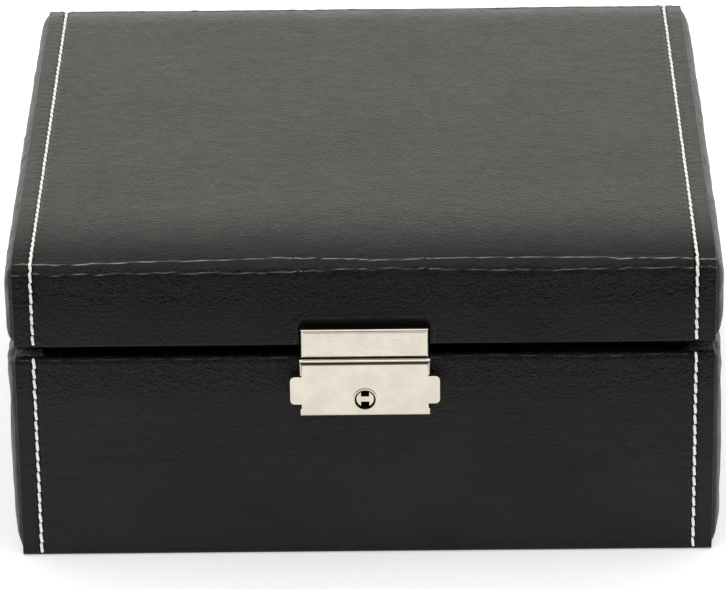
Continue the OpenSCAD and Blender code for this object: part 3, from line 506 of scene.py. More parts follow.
LID_STITCHES = round((LID_SEAM_ENDS[1] - LID_SEAM_ENDS[0]) / STITCH_PITCH)
LID_PITCH = (LID_SEAM_ENDS[1] - LID_SEAM_ENDS[0]) / LID_STITCHES
LID_FIRST = LID_SEAM_ENDS[0] + LID_PITCH / 2

STRIKE_LOW, STRIKE_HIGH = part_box("strike_plate")
RECESS_W = STRIKE_HIGH.x + 0.4 * MM
RECESS_TOP = STRIKE_HIGH.z + 1.5 * MM
STRIKE_FIT = 0.05 * MM
RIDGE_AWAY = 1.7 * MM


def crease_lines(x):
    """Angles above the front, in degrees, of the two creases that run along the lid's front bend."""
    sag = np.cos(np.clip(x / HALF_W, -1, 1) * math.pi / 2)
    high = 64 + 20 * sag + 6 * waves(x, 0 * x, 60 * MM, 4) + 2.5 * waves(x, 0 * x, 14 * MM, 5)
    low = 30 + 5 * waves(x, 0 * x, 75 * MM, 6) + 2 * waves(x, 0 * x, 11 * MM, 7)
    return high, low


def crease_places(s, x, start):
    """How far each point is from the two creases of a bend, and from a third, fainter one on the top."""
    high, low = (LID_BEND * np.radians(a) for a in crease_lines(x))
    jitter = 0.16 * MM * waves(x, 0 * x, 2.6 * MM, 12)
    third = LID_BEND * math.radians(104) + 0.6 * MM * waves(x, 0 * x, 50 * MM, 8)
    across = s - start
    return across - high - jitter, across - low - jitter, across - third + jitter


def bend_relief(s, x, start, seed):
    """Creases along a bend, with flatter leather between them, and the soft run into the front."""
    high, low, third = crease_places(s, x, start)
    crinkle = 0.7 + 0.45 * waves(x, s, 4 * MM, seed) + 0.3 * waves(x, s, 1.8 * MM, seed + 1)
    ridges = (0.17 * MM * bump(high, 0.42 * MM) + 0.15 * MM * bump(low, 0.4 * MM)
              + 0.05 * MM * bump(third, 0.5 * MM))
    flatter = -0.16 * MM * bump((high + low) / 2, 1.6 * MM)
    run_in = -0.5 * MM * np.exp(-((s - start) / np.where(s < start, 7 * MM, 5 * MM)) ** 2)
    return ridges * crinkle + flatter + run_in


def bend_marks(s, x, start, seed):
    """Painted highlights along the creases, and the grain that is drawn up, and painted darker as shade, between
    and below them.
    """
    high, low, third = crease_places(s, x, start)
    broken = 0.75 + 0.35 * waves(x, s, 3.6 * MM, seed) + 0.4 * waves(x, s, 1.2 * MM, seed + 1)
    broken = np.clip(broken, 0.15, 1.3)
    faint = np.clip(-x / HALF_W, 0, 1) * np.clip(0.5 + waves(x, s, 4 * MM, seed + 2), 0, 1)
    # painted highlight along each crease, standing in for its glints, broken along its length
    painted_highlight = (0.95 * bump(high, 0.27 * MM) + 0.6 * bump(low, 0.24 * MM)) * broken
    painted_highlight = painted_highlight + 0.35 * bump(third, 0.25 * MM) * faint
    # where the grain is drawn up, which the finish also paints darker as shade
    drawn_and_shaded = 1 / (1 + np.exp((s - start - 4 * MM) / (1.2 * MM)))
    drawn_and_shaded = drawn_and_shaded / (1 + np.exp(-(s - start + 7 * MM) / (1.5 * MM)))
    return painted_highlight, drawn_and_shaded


def recess_distance(s, x):
    """Distance outside the rounded outline of the recess round the strike plate."""
    corner = 2 * MM
    z = LID_LOW.z + EDGE_BEND + s - LID_OUTLINE.starts[2]
    qx, qz = np.abs(x) - RECESS_W + corner, z - RECESS_TOP + corner
    return np.hypot(np.maximum(qx, 0), np.maximum(qz, 0)) + np.minimum(np.maximum(qx, qz), 0) - corner


def recess_relief(s, x):
    """The pressed recess round the strike plate, and the puckered ridge above it."""
    outside = recess_distance(s, x)
    depth = 0.9 * MM * (1 - np.clip((outside + 0.45 * MM) / (0.8 * MM), 0, 1)) ** 0.7
    above = s > LID_OUTLINE.starts[2] + RECESS_TOP - LID_LOW.z - EDGE_BEND - 2 * MM
    ridge = 0.16 * MM * bump(outside - RIDGE_AWAY, 0.6 * MM) * above * (0.7 + 0.5 * waves(x, s, 3 * MM, 31))
    on_front = (s > LID_OUTLINE.starts[2] - MM) & (s < LID_BEND_AT[0])
    return np.where(on_front, ridge - depth, 0)


def crown_relief(s):
    """The top's gentle crown, which falls away over its last stretch before each bend."""
    front = np.clip(1 - (s - LID_OUTLINE.starts[4]) / (25 * MM), 0, 1)
    back = np.clip(1 - (LID_OUTLINE.starts[5] - s) / (18 * MM), 0, 1)
    bend = LID_OUTLINE.lengths[3]
    ramp = np.clip(np.minimum(s - LID_BEND_AT[0], LID_OUTLINE.starts[6] - s) / bend, 0, 1)
    return ramp * (0.35 * MM - 1.0 * MM * front ** 3 - 1.0 * MM * back ** 3)


def lid_marks(s, x):
    """Painted highlights, and drawn-up grain that is painted darker as shade, of the lid's wrap."""
    front_highlight, front_grain_and_shade = bend_marks(s, x, LID_BEND_AT[0], 20)
    back_highlight, back_grain_and_shade = bend_marks(LID_OUTLINE.length - s, -x, LID_BEND_AT[0], 24)
    on_front = s < LID_BEND_AT[0]
    puckered = bump(recess_distance(s, x) - RIDGE_AWAY, 0.5 * MM) * on_front
    # painted highlight on the puckered ridge above the strike's recess
    ridge_highlight = 0.22 * puckered * np.clip(waves(x, s, 2.4 * MM, 33), 0, 1)
    top = (s > LID_OUTLINE.starts[4]) & (s < LID_OUTLINE.starts[5])
    near_bend = np.clip(1 - (s - LID_OUTLINE.starts[4]) / (44 * MM), 0, 1) ** 1.3
    on_bend = np.clip(1 + (s - LID_OUTLINE.starts[4]) / (0.5 * LID_OUTLINE.lengths[3]), 0, 1)
    dull = np.where(top, near_bend, on_bend * (s < LID_BEND_AT[1]))
    patches = 0.12 + 0.10 * waves(x, s, 30 * MM, 34)
    # drawn-up grain, which the finish also paints darker as shade
    grain_and_shade = np.maximum(front_grain_and_shade, back_grain_and_shade) + np.where(top, 0.5 * near_bend, np.maximum(patches, 0.05))
    return front_highlight + 0.7 * back_highlight + ridge_highlight, grain_and_shade, dull


def lid_relief(s, x):
    soft = 0.06 * MM * waves(x, s, 60 * MM, 1) + 0.011 * MM * waves(x * 0.6, s, 7 * MM, 2)
    front = bend_relief(s, x, LID_BEND_AT[0], 20)
    back = bend_relief(LID_OUTLINE.length - s, -x, LID_BEND_AT[0], 24)
    hem = np.clip(np.minimum(s, LID_OUTLINE.length - s) / (9 * MM) - 1, 0, 1)
    seam = seam_relief(s, x, LID_FIRST, LID_PITCH)
    on_seam = (s > LID_SEAM_ENDS[0]) & (s < LID_SEAM_ENDS[1])
    return (soft + crown_relief(s)) * hem + front + back + recess_relief(s, x) + np.where(on_seam, seam, 0)


def lid_keep(s, x):
    """All of the lid's wrap but the patch behind the strike plate."""
    return (np.abs(x) > STRIKE_HIGH.x + STRIKE_FIT) | (s > STRIKE_ROW)


STRIKE_ROW = LID_OUTLINE.starts[2] + STRIKE_HIGH.z + STRIKE_FIT - edge_z
bend_middle = LID_BEND * math.pi / 4
lid_rows = spread(
    0, LID_OUTLINE.length, 0.8 * MM,
    (LID_BEND_AT[0] + bend_middle, bend_middle + 1.8 * MM, 0.18 * MM),
    (LID_BEND_AT[1] + bend_middle, bend_middle + 1.6 * MM, 0.5 * MM),
    (STRIKE_ROW, 2.4 * MM, 0.3 * MM),
    (LID_OUTLINE.starts[2] - 0.8 * MM, 1.2 * MM, 0.3 * MM),
)
lid_columns = wrap_columns(*[(side * (STRIKE_HIGH.x + STRIKE_FIT), 2 * MM, 0.25 * MM) for side in (-1, 1)])
wrap("lid_wrap_leather", LID_OUTLINE, lid_rows, lid_columns, lid_relief, lid_marks, lid_keep, "lid",
     "lid_wrap")

# The base's wraps: hem under the floor, bend, wall, bend, hem over the wall
low_z, high_z = WRAP_LOW.z + LOW_BEND, WRAP_HIGH.z - BASE_BEND
low_y, wall_y = HALF_D - LOW_BEND, HALF_D - BASE_BEND
BASE_OUTLINE = Outline(
    line((WRAP_HIGH.y, WRAP_LOW.z), (-low_y, WRAP_LOW.z)),
    arc((-low_y, low_z), LOW_BEND, 270, 180),
    line((-HALF_D, low_z), (-HALF_D, high_z)),
    arc((-wall_y, high_z), BASE_BEND, 180, 90),
    line((-wall_y, WRAP_HIGH.z), (-WALL_IN_D, WRAP_HIGH.z)),
)
base_bend_run = BASE_OUTLINE.lengths[3]
BASE_SEAM_ENDS = (BASE_OUTLINE.starts[1] + 0.6 * BASE_OUTLINE.lengths[1],
                  BASE_OUTLINE.starts[3] + 0.7 * base_bend_run)
BASE_STITCHES = round((BASE_SEAM_ENDS[1] - BASE_SEAM_ENDS[0]) / STITCH_PITCH)
BASE_PITCH = (BASE_SEAM_ENDS[1] - BASE_SEAM_ENDS[0]) / BASE_STITCHES
BASE_FIRST = BASE_SEAM_ENDS[0] + BASE_PITCH / 2
PLATE_LOW, PLATE_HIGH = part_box("lock_back_plate")
PLATE_FIT = 0.1 * MM
PLATE_ROWS = [BASE_OUTLINE.starts[2] + z - low_z for z in (PLATE_LOW.z - PLATE_FIT, PLATE_HIGH.z + PLATE_FIT)]


def top_crease(s, x, seed):
    """Distance from the crease along a base wrap's upper bend."""
    return s - BASE_OUTLINE.starts[3] - 0.45 * base_bend_run - 0.3 * MM * waves(x, 0 * x, 40 * MM, seed + 2)


def base_relief(seed):
    """The relief of a base wrap: soft waves, its upper crease, the flare at its foot and the seams."""
    def relief(s, x):
        soft = 0.07 * MM * waves(x, s, 52 * MM, seed) + 0.02 * MM * waves(x * 0.5, s, 8 * MM, seed + 1)
        across = top_crease(s, x, seed)
        crinkle = 0.7 + 0.4 * waves(x, s, 3 * MM, seed + 3)
        ridge = 0.07 * MM * bump(across, 0.4 * MM) * crinkle
        free = np.clip((s - BASE_OUTLINE.starts[1]) / (4 * MM), 0, 1)
        flare = 0.22 * MM * bump(s - BASE_OUTLINE.starts[1] - 0.6 * LOW_BEND, 2 * MM)
        seam = seam_relief(s, x, BASE_FIRST, BASE_PITCH)
        on_seam = (s > BASE_SEAM_ENDS[0]) & (s < BASE_SEAM_ENDS[1])
        return soft * free + ridge + flare + np.where(on_seam, seam, 0)
    return relief


def base_marks(seed):
    """Painted highlight along a base wrap's upper crease, and its drawn-up grain that is painted darker as shade.
    """
    def marks(s, x):
        across = top_crease(s, x, seed)
        broken = np.clip(0.5 + 0.5 * waves(x, s, 3 * MM, seed + 4), 0, 1)
        # drawn-up grain near the upper bend, which the finish also paints darker as shade
        drawn_and_shaded = bump(s - BASE_OUTLINE.starts[3] + 3 * MM, 7 * MM)
        grain_and_shade = 0.8 * drawn_and_shaded + 0.12 + 0.06 * waves(x, s, 30 * MM, seed + 5)
        # painted highlight along the upper crease
        return 0.30 * bump(across, 0.3 * MM) * broken, grain_and_shade, 0 * s
    return marks


def front_keep(s, x):
    """All of the front wrap but the lock's window."""
    return (np.abs(x) > PLATE_HIGH.x + PLATE_FIT) | (s < PLATE_ROWS[0]) | (s > PLATE_ROWS[1])


for node, seed, at_back in (("base_front_wrap", 41, False), ("base_back_wrap", 51, True)):
    rows = spread(0, BASE_OUTLINE.length, 0.8 * MM,
                  (BASE_OUTLINE.starts[1] + LOW_BEND, 2.0 * MM, 0.25 * MM),
                  (BASE_OUTLINE.starts[3] + base_bend_run / 2, 2.6 * MM, 0.25 * MM),
                  *[(row, 0.4 * MM, 0.4 * MM) for row in PLATE_ROWS])
    columns = wrap_columns(*[(side * (PLATE_HIGH.x + PLATE_FIT), 0.4 * MM, 0.4 * MM) for side in (-1, 1)])
    wrap(node + "_leather", BASE_OUTLINE, rows, columns, base_relief(seed), base_marks(seed),
         (lambda s, x: s > -1) if at_back else front_keep, "base", node,
         at_back)


# ---------------------------------------------------------------- stitches

def stitch_shape(rng):
    """Rings of one stitch of two-ply thread, lying along local Y, as [ring, side, xyz] in metres."""
    rings, sides = 13, 10
    t = np.linspace(-1, 1, rings)[:, None]
    turn = np.linspace(0, 2 * math.pi, sides, endpoint=False)[None, :]
    radius = 0.50 * MM * (1 - 0.28 * np.abs(t) ** 4) * rng.uniform(0.94, 1.05)
    plies = 1 + 0.10 * np.cos(2 * turn - 5.5 * t + rng.uniform(0, 6))
    middle = -0.02 * MM - 0.8 * MM * t ** 8
    half_length = 1.84 * MM * rng.uniform(0.97, 1.02)
    shape = np.zeros((rings, sides, 3))
    shape[..., 0] = radius * plies * np.cos(turn)
    shape[..., 1] = half_length * t
    shape[..., 2] = middle + 0.92 * radius * plies * np.sin(turn)
    return shape


def stitches(name, node, body, x, outline, centres, both_sides=False):
    """A row of slanted stitches along an outline, and its mirror image on the back if wanted."""
    rng = np.random.default_rng(7 + len(name))
    place, normal = outline.at(np.array(centres))
    points, faces, first = [], [], 0
    for side in ((1, -1) if both_sides else (1,)):
        for at, out in zip(place, normal):
            shape = stitch_shape(rng)
            rings, sides = shape.shape[:2]
            slant = math.radians(6 + rng.uniform(-2, 2))
            run = np.array([0, out[1], -out[0]])
            up = np.array([0, out[0] * side, out[1]])
            along = run * math.cos(slant) - np.array([1, 0, 0]) * math.sin(slant)
            across = np.cross(along, up)
            centre = np.array([x + rng.uniform(-0.06, 0.06) * MM, at[0] * side, at[1]])
            local = shape.reshape(-1, 3)
            points.append(centre + local[:, :1] * across + local[:, 1:2] * along + local[:, 2:] * up)
            for i in range(rings - 1):
                for j in range(sides):
                    k = (j + 1) % sides
                    faces.append([first + i * sides + j, first + i * sides + k,
                                  first + (i + 1) * sides + k, first + (i + 1) * sides + j])
            faces.append([first + j for j in reversed(range(sides))])
            faces.append([first + (rings - 1) * sides + j for j in range(sides)])
            first += rings * sides
    outward(piece(name, np.concatenate(points), faces, body, THREAD_LOOK, [node], 80))


lid_centres = [LID_FIRST + k * LID_PITCH for k in range(LID_STITCHES)]
base_centres = [BASE_FIRST + k * BASE_PITCH for k in range(BASE_STITCHES)]
for side, word in ((-1, "left"), (1, "right")):
    stitches(f"lid_{word}_seam", f"lid_{word}_stitching", "lid", side * SEAM_X, LID_OUTLINE, lid_centres)
    stitches(f"base_{word}_seam", f"base_{word}_stitching", "base", side * SEAM_X, BASE_OUTLINE, base_centres,
             both_sides=True)


# ---------------------------------------------------------------- soft pieces

def mesh_points(mesh):
    points = np.empty(len(mesh.vertices) * 3)
    mesh.vertices.foreach_get("co", points)
    return points.reshape(-1, 3)


CLOTH_FRAMES = 20
CLOTH_SETTINGS = {"quality": 4, "mass": 0.3, "tension_stiffness": 12, "compression_stiffness": 12,
                  "bending_stiffness": 0.4, "use_pressure": True, "vertex_group_mass": "held"}
PAD_PRESSURE = 4.0


def puffed(obj, held, pressure, cap):
    """A padded piece, swollen from its modelled shape by cloth simulation. Its held points stay in place."""
    start = mesh_points(obj.data)
    group = obj.vertex_groups.new(name="held")
    group.add([int(k) for k in np.flatnonzero(held)], 1.0, "REPLACE")
    cloth = obj.modifiers.new("Cloth", "CLOTH")
    for key, value in CLOTH_SETTINGS.items():
        setattr(cloth.settings, key, value)
    cloth.settings.uniform_pressure_force = pressure
    cloth.settings.effector_weights.gravity = 0
    cloth.collision_settings.use_collision = False
    scene = bpy.context.scene
    for frame_number in range(1, CLOTH_FRAMES + 1):
        scene.frame_set(frame_number)
    move = mesh_points(obj.evaluated_get(bpy.context.evaluated_depsgraph_get()).to_mesh()) - start
    length = np.linalg.norm(move, axis=1, keepdims=True)
    move *= np.minimum(1, cap / np.maximum(length, 1e-9))
    obj.modifiers.remove(cloth)
    obj.vertex_groups.remove(group)
    obj.data.vertices.foreach_set("co", (start + move).ravel())
    obj.data.update()
    scene.frame_set(1)
    smooth = obj.modifiers.new("Subdivision", "SUBSURF")
    smooth.levels = smooth.render_levels = 1


def rounding(inward, radius):
    """Quarter-ellipse profile: 0 at a border, 1 from a radius inward."""
    return np.sqrt(np.clip(1 - (1 - np.clip(inward / radius, 0, 1)) ** 2, 0, 1))


# Side pads
BOARD_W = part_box("base_right_board")[1].x
PAD_LIP = 1.6 * MM
PAD_ROUND = 9 * MM
GAP_ROUND = 4 * MM
HEM_TUCK = 1.35 * MM


def side_pad(side, word, in_lid):
    """One padded side cover: a crowned face, and the hem that goes over the wall's edge."""
    body = "lid" if in_lid else "base"
    node = f"{body}_{word}_pad"
    low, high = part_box(f"{body}_right_pad")
    z = spread(low.z, high.z, 2.4 * MM, (low.z, 4 * MM, 0.8 * MM), (high.z, 4 * MM, 0.8 * MM))
    t = spread(-1, 1, 2.4 * MM / high.y, (-1, 0.035, 0.007), (1, 0.035, 0.007))
    t, z = np.meshgrid(t, z)
    half = np.full_like(z, high.y)
    if in_lid:
        corner = high.z - bend_z
        rounded = bend_y + np.sqrt(np.clip(corner ** 2 - (z - bend_z) ** 2, 0, None))
        half = np.where(z > bend_z, rounded, half)
    y = t * half
    crown = high.x - BOARD_W - PAD_LIP
    ends = rounding(half - np.abs(y), PAD_ROUND)
    lower = rounding(z - low.z, GAP_ROUND if in_lid else PAD_ROUND)
    upper = rounding(high.z - z, PAD_ROUND if in_lid else GAP_ROUND)
    border = np.minimum(np.minimum(half - np.abs(y), z - low.z), high.z - z)
    seed = 61 + 2 * side + 7 * in_lid
    near = bump(border - 4 * MM, 6 * MM)
    ripple = 0.16 * MM * waves(y, z * 0.6, 8 * MM, seed) * near + 0.14 * MM * waves(y, z, 45 * MM, seed + 1)
    x = BOARD_W + PAD_LIP + crown * ends * lower * upper + ripple * np.clip(border / (2 * MM), 0, 1)
    tuck = HEM_TUCK * np.clip((np.abs(y) - WALL_IN_D + 1.5 * MM) / (1.5 * MM), 0, 1)
    reach = (z - low.z) / (high.z - low.z)
    z = z + tuck * (1 - reach) ** 12 if in_lid else z - tuck * reach ** 12
    outer = np.stack([x, y, z], axis=2)
    face = shell(outer, np.stack([np.full_like(x, BOARD_W), y, z], axis=2))
    count = len(face[0])
    hem_x, hem_y = np.meshgrid(np.linspace(WALL_IN_W, BOARD_W + 0.4 * MM, 5),
                               np.linspace(-1, 1, 80) * (WALL_IN_D - 0.1 * MM))
    top = low.z if in_lid else high.z
    inward = 1 if in_lid else -1
    lift = 0.05 * MM * (1 + waves(hem_x, hem_y, 9 * MM, seed + 2))
    hem_face = np.stack([hem_x, hem_y, top + inward * lift], axis=2)
    hem_back = np.stack([hem_x, hem_y, np.full_like(hem_x, top + inward * LEATHER)], axis=2)
    points, faces = together(face, shell(hem_face, hem_back))
    points[:, 0] *= side
    obj = piece(f"{node}_leather", points, faces, body, SIDE_PAINTED_LIGHTER_LOOK, [node], 60)
    outward(obj)
    held = (np.abs(points[:, 0]) < BOARD_W + PAD_LIP + 0.02 * MM) | (np.arange(len(points)) >= count)
    puffed(obj, held, PAD_PRESSURE, 0.35 * MM)


for in_lid in (False, True):
    for side, word in ((-1, "left"), (1, "right")):
        side_pad(side, word, in_lid)


CROWN_RUN = 18 * MM


def cushion(low, high, crown, seed, edge, down):
    """A crowned pad in a box, flat on its underside (or its upper side if it faces down)."""
    step = 3 * MM
    xs, ys = (spread(low[k], high[k], step, (low[k], 2 * edge, edge / 3), (high[k], 2 * edge, edge / 3))
              for k in (0, 1))
    y, x = np.meshgrid(ys, xs, indexing="ij")
    thick = high[2] - low[2]
    across = np.minimum(x - low[0], high[0] - x)
    along = np.minimum(y - low[1], high[1] - y)
    edges = rounding(across, edge) * rounding(along, edge)
    across_rise, along_rise = (np.sin(np.clip(d / CROWN_RUN, 0, 1) * math.pi / 2) for d in (across, along))
    middle = across_rise * along_rise
    ripple = 0.10 * MM * waves(x, y, 26 * MM, seed) * np.clip(np.minimum(across, along) / (6 * MM), 0, 1)
    height = thick * (0.35 + 0.65 * edges) - crown * (1 - middle) * 0.6 + ripple - 0.1 * MM
    height = np.maximum(height, 0.3 * MM)
    near, far = (high[2], -1) if down else (low[2], 1)
    outer = np.stack([x, y, near + far * height], axis=2)
    return shell(outer, np.stack([x, y, np.full_like(x, near)], axis=2))


def cushions(name, node, body, boxes, crown, pressure, cap, material, down=False, edge=2 * MM):
    """One puffed piece of crowned pads, one in each box, that stands for a node."""
    parts = [cushion(low, high, crown, 80 + k, edge, down) for k, (low, high) in enumerate(boxes)]
    points, faces = together(*parts)
    obj = piece(name, points, faces, body, material, [node], 70)
    outward(obj)
    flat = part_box(node)[1].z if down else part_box(node)[0].z
    puffed(obj, np.abs(points[:, 2] - flat) < 0.01 * MM, pressure, cap)


def bays(node, walls_x, walls_y, wall):
    """The parts of a node's box between cross walls: (low, high) of each."""
    low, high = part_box(node)
    xs, ys = [low.x, *walls_x, high.x], [low.y, *walls_y, high.y]
    found = []
    for i in range(len(xs) - 1):
        for j in range(len(ys) - 1):
            a = (xs[i] + (wall if i else 0), ys[j] + (wall if j else 0), low.z)
            b = (xs[i + 1] - (wall if i < len(xs) - 2 else 0),
                 ys[j + 1] - (wall if j < len(ys) - 2 else 0), high.z)
            found.append((a, b))
    return found


cross_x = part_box("lower_cross_dividers")[1].x
divider = (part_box("lower_long_divider")[1].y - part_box("lower_long_divider")[0].y) / 2
floor_bays = bays("floor_pad", (-cross_x + divider, cross_x - divider), (0,), divider)
cushions("floor_pad_velvet", "floor_pad", "base", floor_bays, 0.5 * MM, PAD_PRESSURE, 0.6 * MM,
         VELVET_LOOK)
cushions("lid_lining_velvet", "lid_lining_pad", "lid", [tuple(map(tuple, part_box("lid_lining_pad")))],
         0.3 * MM, 3.0, 0.3 * MM, VELVET_LOOK, down=True)
FOAM_IN, FOAM_DOWN = Vector((0, 1.6 * MM, 0)), Vector((0, 0, 0.5 * MM))
foam_low, foam_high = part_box("lid_foam")
foam_box = (tuple(foam_low + FOAM_IN), tuple(foam_high - FOAM_IN - FOAM_DOWN))
cushions("lid_top_foam", "lid_foam", "lid", [foam_box], 0.1 * MM, 1.0, 0.1 * MM, FOAM_LOOK,
         edge=4 * MM)

# The tray's pads: one in each open bay, and the ring rolls in the other
pad_low, pad_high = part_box("tray_pads")
roll_low, roll_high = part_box("ring_rolls")
long_low, long_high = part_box("tray_long_divider")
back_low, back_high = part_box("tray_cross_dividers")
DIVIDER = 3 * MM
PAD_GAP = 0.1 * MM
open_bays = [((1.6 * MM, pad_low.y, pad_low.z), (pad_high.x, long_low.y - PAD_GAP, pad_high.z))]
back_xs = [pad_low.x, back_low.x, back_low.x + DIVIDER, back_high.x - DIVIDER, back_high.x, pad_high.x]
for k in range(3):
    open_bays.append(((back_xs[2 * k] + PAD_GAP, long_high.y + PAD_GAP, pad_low.z),
                      (back_xs[2 * k + 1] - PAD_GAP, pad_high.y, pad_high.z)))
cushions("tray_pads_velvet", "tray_pads", "tray", open_bays, 0.3 * MM, PAD_PRESSURE, 0.5 * MM,
         VELVET_LOOK, edge=1.6 * MM)


def ring_roll(x_low, x_high, seed):
    """One stuffed roll that lies along Y: flat below, round above, with gathered ends."""
    sides = 26
    angles = np.linspace(0, 2 * math.pi, sides, endpoint=False)
    ys = spread(roll_low.y + 0.3 * MM, roll_high.y - 0.3 * MM, 2.4 * MM,
                (roll_low.y, 4 * MM, 0.8 * MM), (roll_high.y, 4 * MM, 0.8 * MM))
    half, height = (x_high - x_low) / 2 - 0.25 * MM, roll_high.z - roll_low.z - 0.5 * MM
    ends = np.minimum(ys - ys[0], ys[-1] - ys)
    scale = 0.62 + 0.38 * rounding(ends, 5 * MM)
    cos, sin = np.cos(angles), np.sin(angles)
    px = np.sign(cos) * np.abs(cos) ** 0.72 * half
    pz = np.where(sin > 0, np.abs(sin) ** 0.8, -np.abs(sin) ** 0.4)
    rows = []
    for y, s in zip(ys, scale):
        gather = 0.25 * MM * np.sin(7 * angles + seed) * max(0, 1 - min(y - ys[0], ys[-1] - y) / (8 * MM))
        middle = roll_low.z + 0.1 * MM + 0.36 * height
        up = np.where(pz > 0, pz * 0.64 * height * s, pz * 0.36 * height)
        out = (x_low + x_high) / 2 + px * (0.55 + 0.45 * s) + gather
        rows.append(np.stack([out, np.full(sides, y), middle + up], axis=1))
    points = np.concatenate(rows)
    faces = tube_faces(len(ys), sides)
    last = (len(ys) - 1) * sides
    middles = np.array([rows[0].mean(axis=0), rows[-1].mean(axis=0)])
    for j in range(sides):
        k = (j + 1) % sides
        faces += [[len(points), j, k], [len(points) + 1, last + k, last + j]]
    return np.concatenate([points, middles]), faces


ROLLS = 6
edges_x = np.linspace(roll_low.x, roll_high.x, ROLLS + 1)
roll_points, roll_faces = together(*[ring_roll(edges_x[k], edges_x[k + 1], k) for k in range(ROLLS)])
rolls = piece("ring_rolls_velvet", roll_points, roll_faces, "tray", VELVET_LOOK, ["ring_rolls"], 80)
outward(rolls)
puffed(rolls, roll_points[:, 2] < roll_low.z + 0.3 * MM, PAD_PRESSURE, 0.6 * MM)


# ---------------------------------------------------------------- felt and pull tabs

def flat_sheet(x, y, z, thick, normal):
    """A closed sheet round a grid of points, of one thickness."""
    middle = np.stack([x, y, z], axis=2)
    step = np.array(normal) * thick / 2
    return shell(middle + step, middle - step)


felt_low, felt_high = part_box("bottom_felt")
FELT_INSET, FELT_WANDER = 0.3 * MM, 0.25 * MM
fx = np.linspace(-1, 1, 60) * (felt_high.x - FELT_INSET)
fy = np.linspace(-1, 1, 54) * (felt_high.y - FELT_INSET)
gy, gx = np.meshgrid(fy, fx, indexing="ij")
gx = gx + FELT_WANDER * waves(gy, 0 * gy, 14 * MM, 91) * (np.abs(gx) > felt_high.x - MM)
gy = gy + FELT_WANDER * waves(gx, 0 * gx, 14 * MM, 92) * (np.abs(gy) > felt_high.y - MM)
felt_mid = (felt_low.z + felt_high.z) / 2
felt_points, felt_faces = flat_sheet(gx, gy, np.full_like(gx, felt_mid), felt_high.z - felt_low.z, (0, 0, 1))
felt = piece("bottom_felt_sheet", felt_points, felt_faces, "base", FELT_LOOK, ["bottom_felt"], 50)
outward(felt)

tab_low, tab_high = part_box("tray_pull_tabs")
TAB_THICK = 0.5 * MM
TAB_CORNER = 3 * MM
height = tab_high.z - tab_low.z
v, u = np.meshgrid(np.linspace(0, 1, 26), np.linspace(-1, 1, 21), indexing="ij")
from_top = np.minimum((1 - v) * height, TAB_CORNER)
narrow = TAB_CORNER - np.sqrt(np.clip(TAB_CORNER ** 2 - (TAB_CORNER - from_top) ** 2, 0, None))
half = (tab_high.y - tab_low.y) / 2 - narrow
curl = 0.35 * MM * v ** 3 * (1 - 0.4 * u ** 2)
for side, word in ((-1, "left"), (1, "right")):
    x = side * (tab_high.x - TAB_THICK / 2 - curl)
    points, faces = flat_sheet(x, u * half, tab_low.z + v * height, TAB_THICK, (side, 0, 0))
    tab = piece(f"tray_{word}_pull_ribbon", points, faces, "tray", RIBBON_LOOK,
                ["tray_pull_tabs"], 50)
    outward(tab)


# ---------------------------------------------------------------- rigid pieces

BEVELLED_ANGLE = math.radians(28)
SHADED_SHARP = math.radians(35)


def dressed(node, material, bevel, segments=2):
    """A copy of a CAD node with its sharp edges rounded, which stands for it."""
    source = nodes[node]
    bm = bmesh.new()
    bm.from_mesh(source.data)
    bmesh.ops.remove_doubles(bm, verts=bm.verts, dist=0.001 * MM)
    bmesh.ops.dissolve_limit(bm, angle_limit=math.radians(0.2), verts=bm.verts, edges=bm.edges)
    edges = [e for e in bm.edges if e.is_manifold and e.calc_face_angle(0) > BEVELLED_ANGLE]
    bmesh.ops.bevel(bm, geom=edges, offset=bevel, offset_type="OFFSET", segments=segments, profile=0.5,
                    affect="EDGES", clamp_overlap=True, loop_slide=True)
    bmesh.ops.recalc_face_normals(bm, faces=bm.faces)
    mesh = bpy.data.meshes.new(node + "_finished")
    bm.to_mesh(mesh)
    bm.free()
    for name in ("custom_normal", "UVMap"):
        if name in mesh.attributes:
            mesh.attributes.remove(mesh.attributes[name])
    mesh.materials.clear()
    mesh.materials.append(material)
    mesh.polygons.foreach_set("use_smooth", [True] * len(mesh.polygons))
    mesh.set_sharp_from_angle(angle=SHADED_SHARP)
    obj = bpy.data.objects.new(node + "_finished", mesh)
    bpy.context.scene.collection.objects.link(obj)
    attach(obj, source["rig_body"])
    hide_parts(node)
    obj.modifiers.new("Normals", "WEIGHTED_NORMAL").keep_sharp = True


def face_plate(name, low, high, corner, profile, body):
    """A rounded rectangle facing front, swept through a profile of (inset, distance behind its face)."""
    middle, half = (low + high) / 2, (high - low) / 2
    quarter = np.radians(np.linspace(0, 90, 7))
    corners = ((1, 1, 0), (-1, 1, math.pi / 2), (-1, -1, math.pi), (1, -1, 1.5 * math.pi))
    rings = []
    for inset, behind in profile:
        r = max(corner - inset, 0.02 * MM)
        cx, cz = half.x - inset - r, half.z - inset - r
        rings.append([(sx * cx + r * math.cos(a + turn), low.y + behind,
                       middle.z + sz * cz + r * math.sin(a + turn)) for sx, sz, turn in corners for a in quarter])
    sides = len(rings[0])
    points = np.array(rings).reshape(-1, 3)
    obj = piece(name, points, capped_tube(len(rings), sides), body, NICKEL_LOOK)
    outward(obj)
    obj.modifiers.new("Normals", "WEIGHTED_NORMAL").keep_sharp = True


